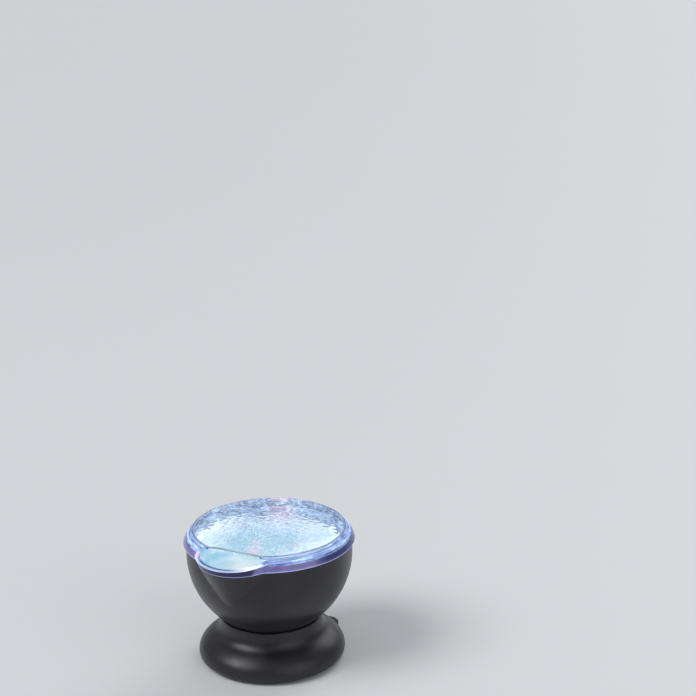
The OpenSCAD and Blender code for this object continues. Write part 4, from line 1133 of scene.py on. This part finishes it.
        round_over = 0.25 * MM
        still, shelf_in = s.lens_radius - 3 * MM, s.ledge + round_over
        under = [*steps(0, still, 58), *steps(still, shelf_in, 18), *steps(shelf_in, in_top, 13)]
        rows = [[(0, 0, down(0.0)[0])]] + [around(columns, r, down(r)) for r in under]
        ceiling = down(in_top)
        for t in (0.3, 0.65, 1.0):
            rows.append(around(columns, in_top + (in_foot - in_top) * t, ceiling + (s.foot - ceiling) * t))
        rows.append(around(columns, foot - round_over, s.foot))
        cut = s.lip_edge + (s.edge - s.lip_edge) * ease(np.degrees(np.abs(a)), 21, 28)
        crest = up(top)
        tall = np.hypot(top - foot, crest - s.foot)
        wall_end = np.stack([top + (foot - top) * cut / tall, crest + (s.foot - crest) * cut / tall])
        inner = top - 0.88 * cut
        wall_foot = s.foot + round_over
        for t in (0.03, 0.35, 0.7):
            r, z = foot + (wall_end[0] - foot) * t, wall_foot + (wall_end[1] - wall_foot) * t
            rows.append(around(columns, r, z))
        for r, z in curve(wall_end, (top, crest), (inner, up(inner)), 7):
            rows.append(around(columns, r, z))
        shelf, lens_edge = s.lens_radius + s.hairline + s.groove, s.lens_radius - 1.4 * MM
        over = [*steps(inner, shelf, 22), *steps(shelf, lens_edge, 34), *steps(lens_edge, 0, 58)[:-1]]
        return rows + [around(columns, r, up(r)) for r in over] + [[(0, 0, up(0.0)[0])]]

    def back_wall(self, s, button):
        """Wall behind the button that closes the cover."""
        half, low, high = 20.5 * MM, button.gap - 0.2 * MM, button.gap + s.wall
        return block("back_wall", (-half, low, -s.wall), (half, high, 1.1 * MM), lip_frame(s, button))

    def pocket(self, s, head, button):
        """Cutter for the button's pocket."""
        outline = pad_outline(head, button, -button.gap)
        matrix = lip_frame(s, button)
        rows = [[matrix @ Vector((x, y, z)) for x, y in outline] for z in (-button.depth, 12 * MM)]
        return place("pocket_cut", skin("pocket_cut", rows, caps=True))


def lip_frame(s, button):
    """The button's sloping frame: its origin is the middle of the back edge, on the lip's top."""
    height = s.foot + s.lip_height + (-button.back - COVER_LOW.y) * math.tan(s.lip_turn)
    return Matrix.Translation((0, -button.back, height)) @ Matrix.Rotation(s.lip_turn, 4, "X")


def pad_outline(head, button, inset, columns=144):
    """Outline of the button, drawn in by inset, around the stem: a round front and a straight back."""
    a = np.linspace(0, FULL_TURN, columns, endpoint=False)
    run = np.stack([np.cos(a), np.sin(a)])
    start = -button.stem_y
    centre = button.back - head.spout_axis
    radius = button.radius - inset
    lift = start - centre
    along = run[1] * lift
    to_arc = -along + np.sqrt(along ** 2 - lift ** 2 + radius ** 2)
    to_back = np.where(run[1] > 1e-3, (-inset - start) / np.maximum(run[1], 1e-3), 1.0)
    reach = -smooth_max(-to_arc, -to_back, button.corner)
    return [(reach[i] * run[0][i], start + reach[i] * run[1][i]) for i in range(columns)]


class PROJECTOR_OT_button(bpy.types.Operator):
    """Clear button in the lip, with its hidden rim and stem"""
    bl_idname = "projector.button"
    bl_label = "Lip button"

    def execute(self, context):
        everything = context.scene.projector
        s, head, cover = everything.button, everything.head, everything.cover
        matrix = lip_frame(cover, s)
        columns = 144
        ring = np.linspace(0, FULL_TURN, columns, endpoint=False)
        stem = [(s.stem * math.cos(t), -s.stem_y + s.stem * math.sin(t)) for t in ring]
        floor, foot = -s.depth, -s.depth - 1 * MM
        rows = [[matrix @ Vector((0, -s.stem_y, foot))]]

        def add(outline, z):
            rows.append([matrix @ Vector((x, y, z)) for x, y in outline])

        add(stem, foot)
        add(stem, floor)
        rim = pad_outline(head, s, s.rim, columns)
        add(rim, floor)
        add(rim, -cover.wall)
        for inset, z in ((0.15 * MM, -cover.wall), (0.0, -cover.wall + 0.15 * MM), (0.0, -s.edge)):
            add(pad_outline(head, s, inset, columns), z)
        for t in np.radians(np.linspace(15, 90, 6)):
            add(pad_outline(head, s, s.edge * (1 - math.cos(t)), columns), -s.edge * (1 - math.sin(t)))
        rim_line = np.array(pad_outline(head, s, s.edge, columns))
        middle = np.array([0, -s.stem_y])
        for t in np.linspace(0, 1, 16)[1:-1]:
            add(rim_line + (middle - rim_line) * t, s.crown * (1 - (1 - t) ** 2))
        rows.append([matrix @ Vector((0, -s.stem_y, s.crown))])
        button = place("lip_button", skin("lip_button", rows))
        shade(button.data, 40)
        clear = clear_button(everything.colours, everything.stage.glow)
        finish_piece(button, clear, "button", "button_plastic", "mode_button")
        return {"FINISHED"}


class PROJECTOR_OT_disc(bpy.types.Operator):
    """Turning ripple disc and its hub"""
    bl_idname = "projector.disc"
    bl_label = "Ripple disc"

    def execute(self, context):
        everything = context.scene.projector
        s = everything.disc
        glow = ripple_glow(everything.colours, everything.stage.glow)
        disc = self.tree().run(
            "ripple_disc", Radius=s.radius, Top=s.top, Rise=s.rise, Wall=s.wall, Ripple=s.ripple, Cell=s.cell,
            Scallops=float(s.scallops), Scallop=s.scallop, Material=glow)
        tidy(disc.data)
        shade(disc.data, 50)
        finish_piece(disc, glow, "wave", "wave_plastic", "wave_disc")
        low, high = DISC_LOW.z, s.top - s.wall - 0.3 * MM
        bevel, edge = 0.4 * MM, 0.5 * MM
        profile = [(s.bore, low + bevel), (s.bore + bevel, low), (s.hub - edge, low), (s.hub, low + edge),
                   (s.hub, high), (s.bore, high)]
        columns = np.linspace(0, FULL_TURN, 64, endpoint=False)
        hub = place("disc_hub", skin("disc_hub", [around(columns, r, z) for r, z in profile], loop=True))
        shade(hub.data)
        finish_piece(hub, moulded("hub_white", (0.78, 0.84, 0.86), 0.3), "wave", "white_plastic")
        return {"FINISHED"}

    def tree(self):
        """Tree that rolls a grid up into a domed disc with cell-like ripples and a scalloped rim."""
        rows_each, columns = 58, 288
        nodes = NodeTree("ripple_disc")
        radius, top, rise, wall = (nodes.input(n) for n in ("Radius", "Top", "Rise", "Wall"))
        ripple, cell, scallops, scallop = (nodes.input(n) for n in ("Ripple", "Cell", "Scallops", "Scallop"))
        material = nodes.input("Material", "NodeSocketMaterial")
        grid = nodes.add("GeometryNodeMeshGrid", {
            "Size X": 1.0, "Size Y": 1.0, "Vertices X": columns + 1, "Vertices Y": 2 * rows_each})
        where = nodes.add("GeometryNodeInputPosition").outputs[0]
        across, v = nodes.add("ShaderNodeSeparateXYZ", {"Vector": where}).outputs[:2]
        angle = nodes.times(nodes.plus(across, 0.5), FULL_TURN)
        v = nodes.plus(v, 0.5)
        from_edge = nodes.math("MINIMUM", v, nodes.minus(1.0, v))
        reach = nodes.times(from_edge, (2 * rows_each - 1) / (rows_each - 1))
        below = nodes.math("GREATER_THAN", v, 0.5)
        wave = nodes.math("ABSOLUTE", nodes.math("COSINE", nodes.times(angle, nodes.times(scallops, 0.5))))
        dent = nodes.times(nodes.times(nodes.minus(1.0, wave), scallop), nodes.math("POWER", reach, 12.0))
        r = nodes.minus(nodes.times(reach, radius), dent)
        x = nodes.times(r, nodes.math("COSINE", angle))
        y = nodes.times(r, nodes.math("SINE", angle))
        dome = nodes.minus(top, nodes.times(rise, nodes.times(reach, reach)))
        cells = nodes.add("ShaderNodeTexVoronoi", {
            "Vector": nodes.vector(x, y), "Scale": nodes.math("DIVIDE", 1.0, cell), "Smoothness": 0.35},
            feature="SMOOTH_F1")
        calm_rim = nodes.minus(1.0, nodes.math("POWER", reach, 20.0))
        upper = nodes.minus(dome, nodes.times(nodes.times(cells.outputs["Distance"], ripple), calm_rim))
        lower = nodes.minus(dome, wall)
        z = nodes.plus(nodes.times(upper, nodes.minus(1.0, below)), nodes.times(lower, below))
        shaped = nodes.moved(grid.outputs[0], nodes.vector(x, y, z))
        merged = nodes.add("GeometryNodeMergeByDistance", {"Geometry": shaped, "Distance": 2e-6})
        nodes.finish(merged.outputs[0], material)
        return nodes


class PROJECTOR_OT_bottom_screws(bpy.types.Operator):
    """Cross-headed screws of the bottom plate"""
    bl_idname = "projector.bottom_screws"
    bl_label = "Bottom screws"
    head_r, shank_r = 2.7 * MM, 1.4 * MM

    def execute(self, context):
        steel = metal("screw_steel", (0.62, 0.63, 0.66), 0.3)
        low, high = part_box("base_screws")
        screw = self.screw(PLATE_LOW.z, low.z, high.z)
        circle = math.hypot(high.x - self.head_r, high.y - self.head_r)
        nodes = NodeTree("bottom_screws")
        radius = nodes.input("Circle")
        first = nodes.input("First angle")
        shape = nodes.input("Screw", "NodeSocketObject")
        material = nodes.input("Material", "NodeSocketMaterial")
        index = nodes.index()
        side = nodes.minus(nodes.times(nodes.math("MODULO", index, 2.0), 2.0), 1.0)
        half = nodes.times(nodes.math("FLOOR", nodes.times(index, 0.5)), math.pi)
        angle = nodes.plus(half, nodes.times(side, first))
        spot = nodes.vector(nodes.times(radius, nodes.math("COSINE", angle)),
                            nodes.times(radius, nodes.math("SINE", angle)))
        nodes.finish(nodes.copies(4, spot, nodes.times(index, 0.6), shape), material)
        screws = nodes.run("bottom_screws", **{
            "Circle": circle, "First angle": math.radians(20), "Screw": screw, "Material": steel})
        bpy.data.objects.remove(screw)
        shade(screws.data)
        finish_piece(screws, steel, "base", "zinc_steel", "base_screws")
        return {"FINISHED"}

    def screw(self, seat, low, high):
        """One screw, head down: a domed head with a cross recess, and its shank."""
        head_r, shank_r = self.head_r, self.shank_r
        brim = seat - 0.5 * MM
        profile = [(shank_r, seat), (head_r, seat), (head_r, brim)]
        for t in np.radians(np.linspace(15, 90, 6)[:-1]):
            profile.append((head_r * math.cos(t) * 0.98 + 0.02 * MM, brim - (brim - low) * math.sin(t)))
        columns = np.linspace(0, FULL_TURN, 32, endpoint=False)
        rows = [[(0, 0, high)], around(columns, shank_r * 0.4, high), around(columns, shank_r, high - 1 * MM)]
        rows += [around(columns, r, z) for r, z in profile] + [[(0, 0, low)]]
        screw = place("screw", skin("screw", rows))
        long_half, wide_half, deep = 1.5 * MM, 0.32 * MM, 0.8 * MM
        start, end = (-long_half, -wide_half, low - 1 * MM), (long_half, wide_half, low + deep)
        for matrix in (Matrix.Identity(4), Matrix.Rotation(math.pi / 2, 4, "Z")):
            carve(screw, block("cross", start, end, matrix))
        return screw


class PROJECTOR_OT_finishes(bpy.types.Operator):
    """Finishes of the CAD pieces that stay as they are"""
    bl_idname = "projector.finishes"
    bl_label = "Finishes"

    def execute(self, context):
        everything = context.scene.projector
        colours, glow = everything.colours, everything.stage.glow
        steel = metal("zinc_steel", (0.60, 0.62, 0.65), 0.32)
        brass = metal("turned_brass", (0.72, 0.55, 0.26), 0.28)
        dark = moulded("dark_plastic", (0.02, 0.02, 0.022), 0.45)
        green = circuit("green_board", (0.02, 0.16, 0.06), (0.10, 0.36, 0.12))
        finishes = {
            moulded("plate_black", (0.014, 0.014, 0.016), 0.5, 0.05 * MM, 1600): ["base_plate"],
            moulded("foot_rubber", (0.032, 0.032, 0.035), 0.75, 0.04 * MM, 3200): ["foot_ring"],
            dark: ["board_chips", "usb_tongue", "audio_jack", "volume_pot", "clamp_shoe", "push_switch",
                   "switch_plunger"],
            moulded("control_black", (0.026, 0.026, 0.03), 0.4, 0.03 * MM, 2000): [
                "volume_wheel", "power_slider"],
            steel: ["board_screws", "usb_socket", "switch_case", "speaker_frame", "spring_washer",
                    "flat_washer", "reflector_screws", "gear_motor", "motor_screws", "motor_shaft"],
            brass: ["pivot_stud", "clamp_nut"],
            green: ["main_board", "button_board"],
            circuit("white_board", (0.74, 0.76, 0.74), (0.80, 0.80, 0.76)): ["led_board"],
            metal("ferrite", (0.10, 0.10, 0.11), 0.55): ["speaker_magnet"],
            moulded("cone_paper", (0.03, 0.03, 0.032), 0.85, 0.1 * MM, 900): ["speaker_cone"],
            white_dish(colours, glow): ["reflector"],
            lamp("lamp_white", (1.0, 0.98, 0.92), 3.0 * glow): ["leds_white"],
            lamp("lamp_blue", (0.15, 0.30, 1.0), 3.0 * glow): ["leds_blue"],
            lamp("lamp_green", (0.20, 1.0, 0.40), 2.2 * glow): ["leds_green"],
            lamp("lamp_red", (1.0, 0.16, 0.18), 2.6 * glow): ["leds_red"],
        }
        for material, names in finishes.items():
            for name in names:
                node = frame["nodes"][name]
                node.data.materials.clear()
                node.data.materials.append(material)
        return {"FINISHED"}


class PROJECTOR_PT_panel(bpy.types.Panel):
    """Sizes, colours and build steps of the projector"""
    bl_idname = "PROJECTOR_PT_panel"
    bl_label = "Wave projector"
    bl_space_type = "VIEW_3D"
    bl_region_type = "UI"
    bl_category = "Projector"

    def draw(self, context):
        everything = context.scene.projector
        for group in ("head", "cover", "button", "disc", "base", "colours", "stage"):
            box = self.layout.box()
            box.label(text=group.title())
            values = getattr(everything, group)
            for name in values.__annotations__:
                box.prop(values, name)
        for operator in OPERATORS:
            self.layout.operator(operator.bl_idname)


GROUPS = (HeadSizes, CoverSizes, ButtonSizes, DiscSizes, BaseSizes, Colours, StageSettings, ProjectorSettings)
OPERATORS = (PROJECTOR_OT_stage, PROJECTOR_OT_base, PROJECTOR_OT_bowl, PROJECTOR_OT_cover,
             PROJECTOR_OT_button, PROJECTOR_OT_disc, PROJECTOR_OT_bottom_screws, PROJECTOR_OT_finishes)
CLASSES = GROUPS + OPERATORS + (PROJECTOR_PT_panel,)


def register():
    for item in CLASSES:
        bpy.utils.register_class(item)
    bpy.types.Scene.projector = bpy.props.PointerProperty(
        type=ProjectorSettings, name="Projector", description="Sizes and colours of the projector")


def unregister():
    del bpy.types.Scene.projector
    for item in reversed(CLASSES):
        bpy.utils.unregister_class(item)


def main():
    """Builds the projector piece by piece."""
    for item in list(bpy.context.scene.objects):
        if item.name in ("Cube", "Light", "Camera"):
            bpy.data.objects.remove(item)
    register()
    bpy.ops.projector.stage()
    bpy.ops.projector.base()
    bpy.ops.projector.bowl()
    bpy.ops.projector.cover()
    bpy.ops.projector.button()
    bpy.ops.projector.disc()
    bpy.ops.projector.bottom_screws()
    bpy.ops.projector.finishes()


if __name__ == "__main__":
    main()
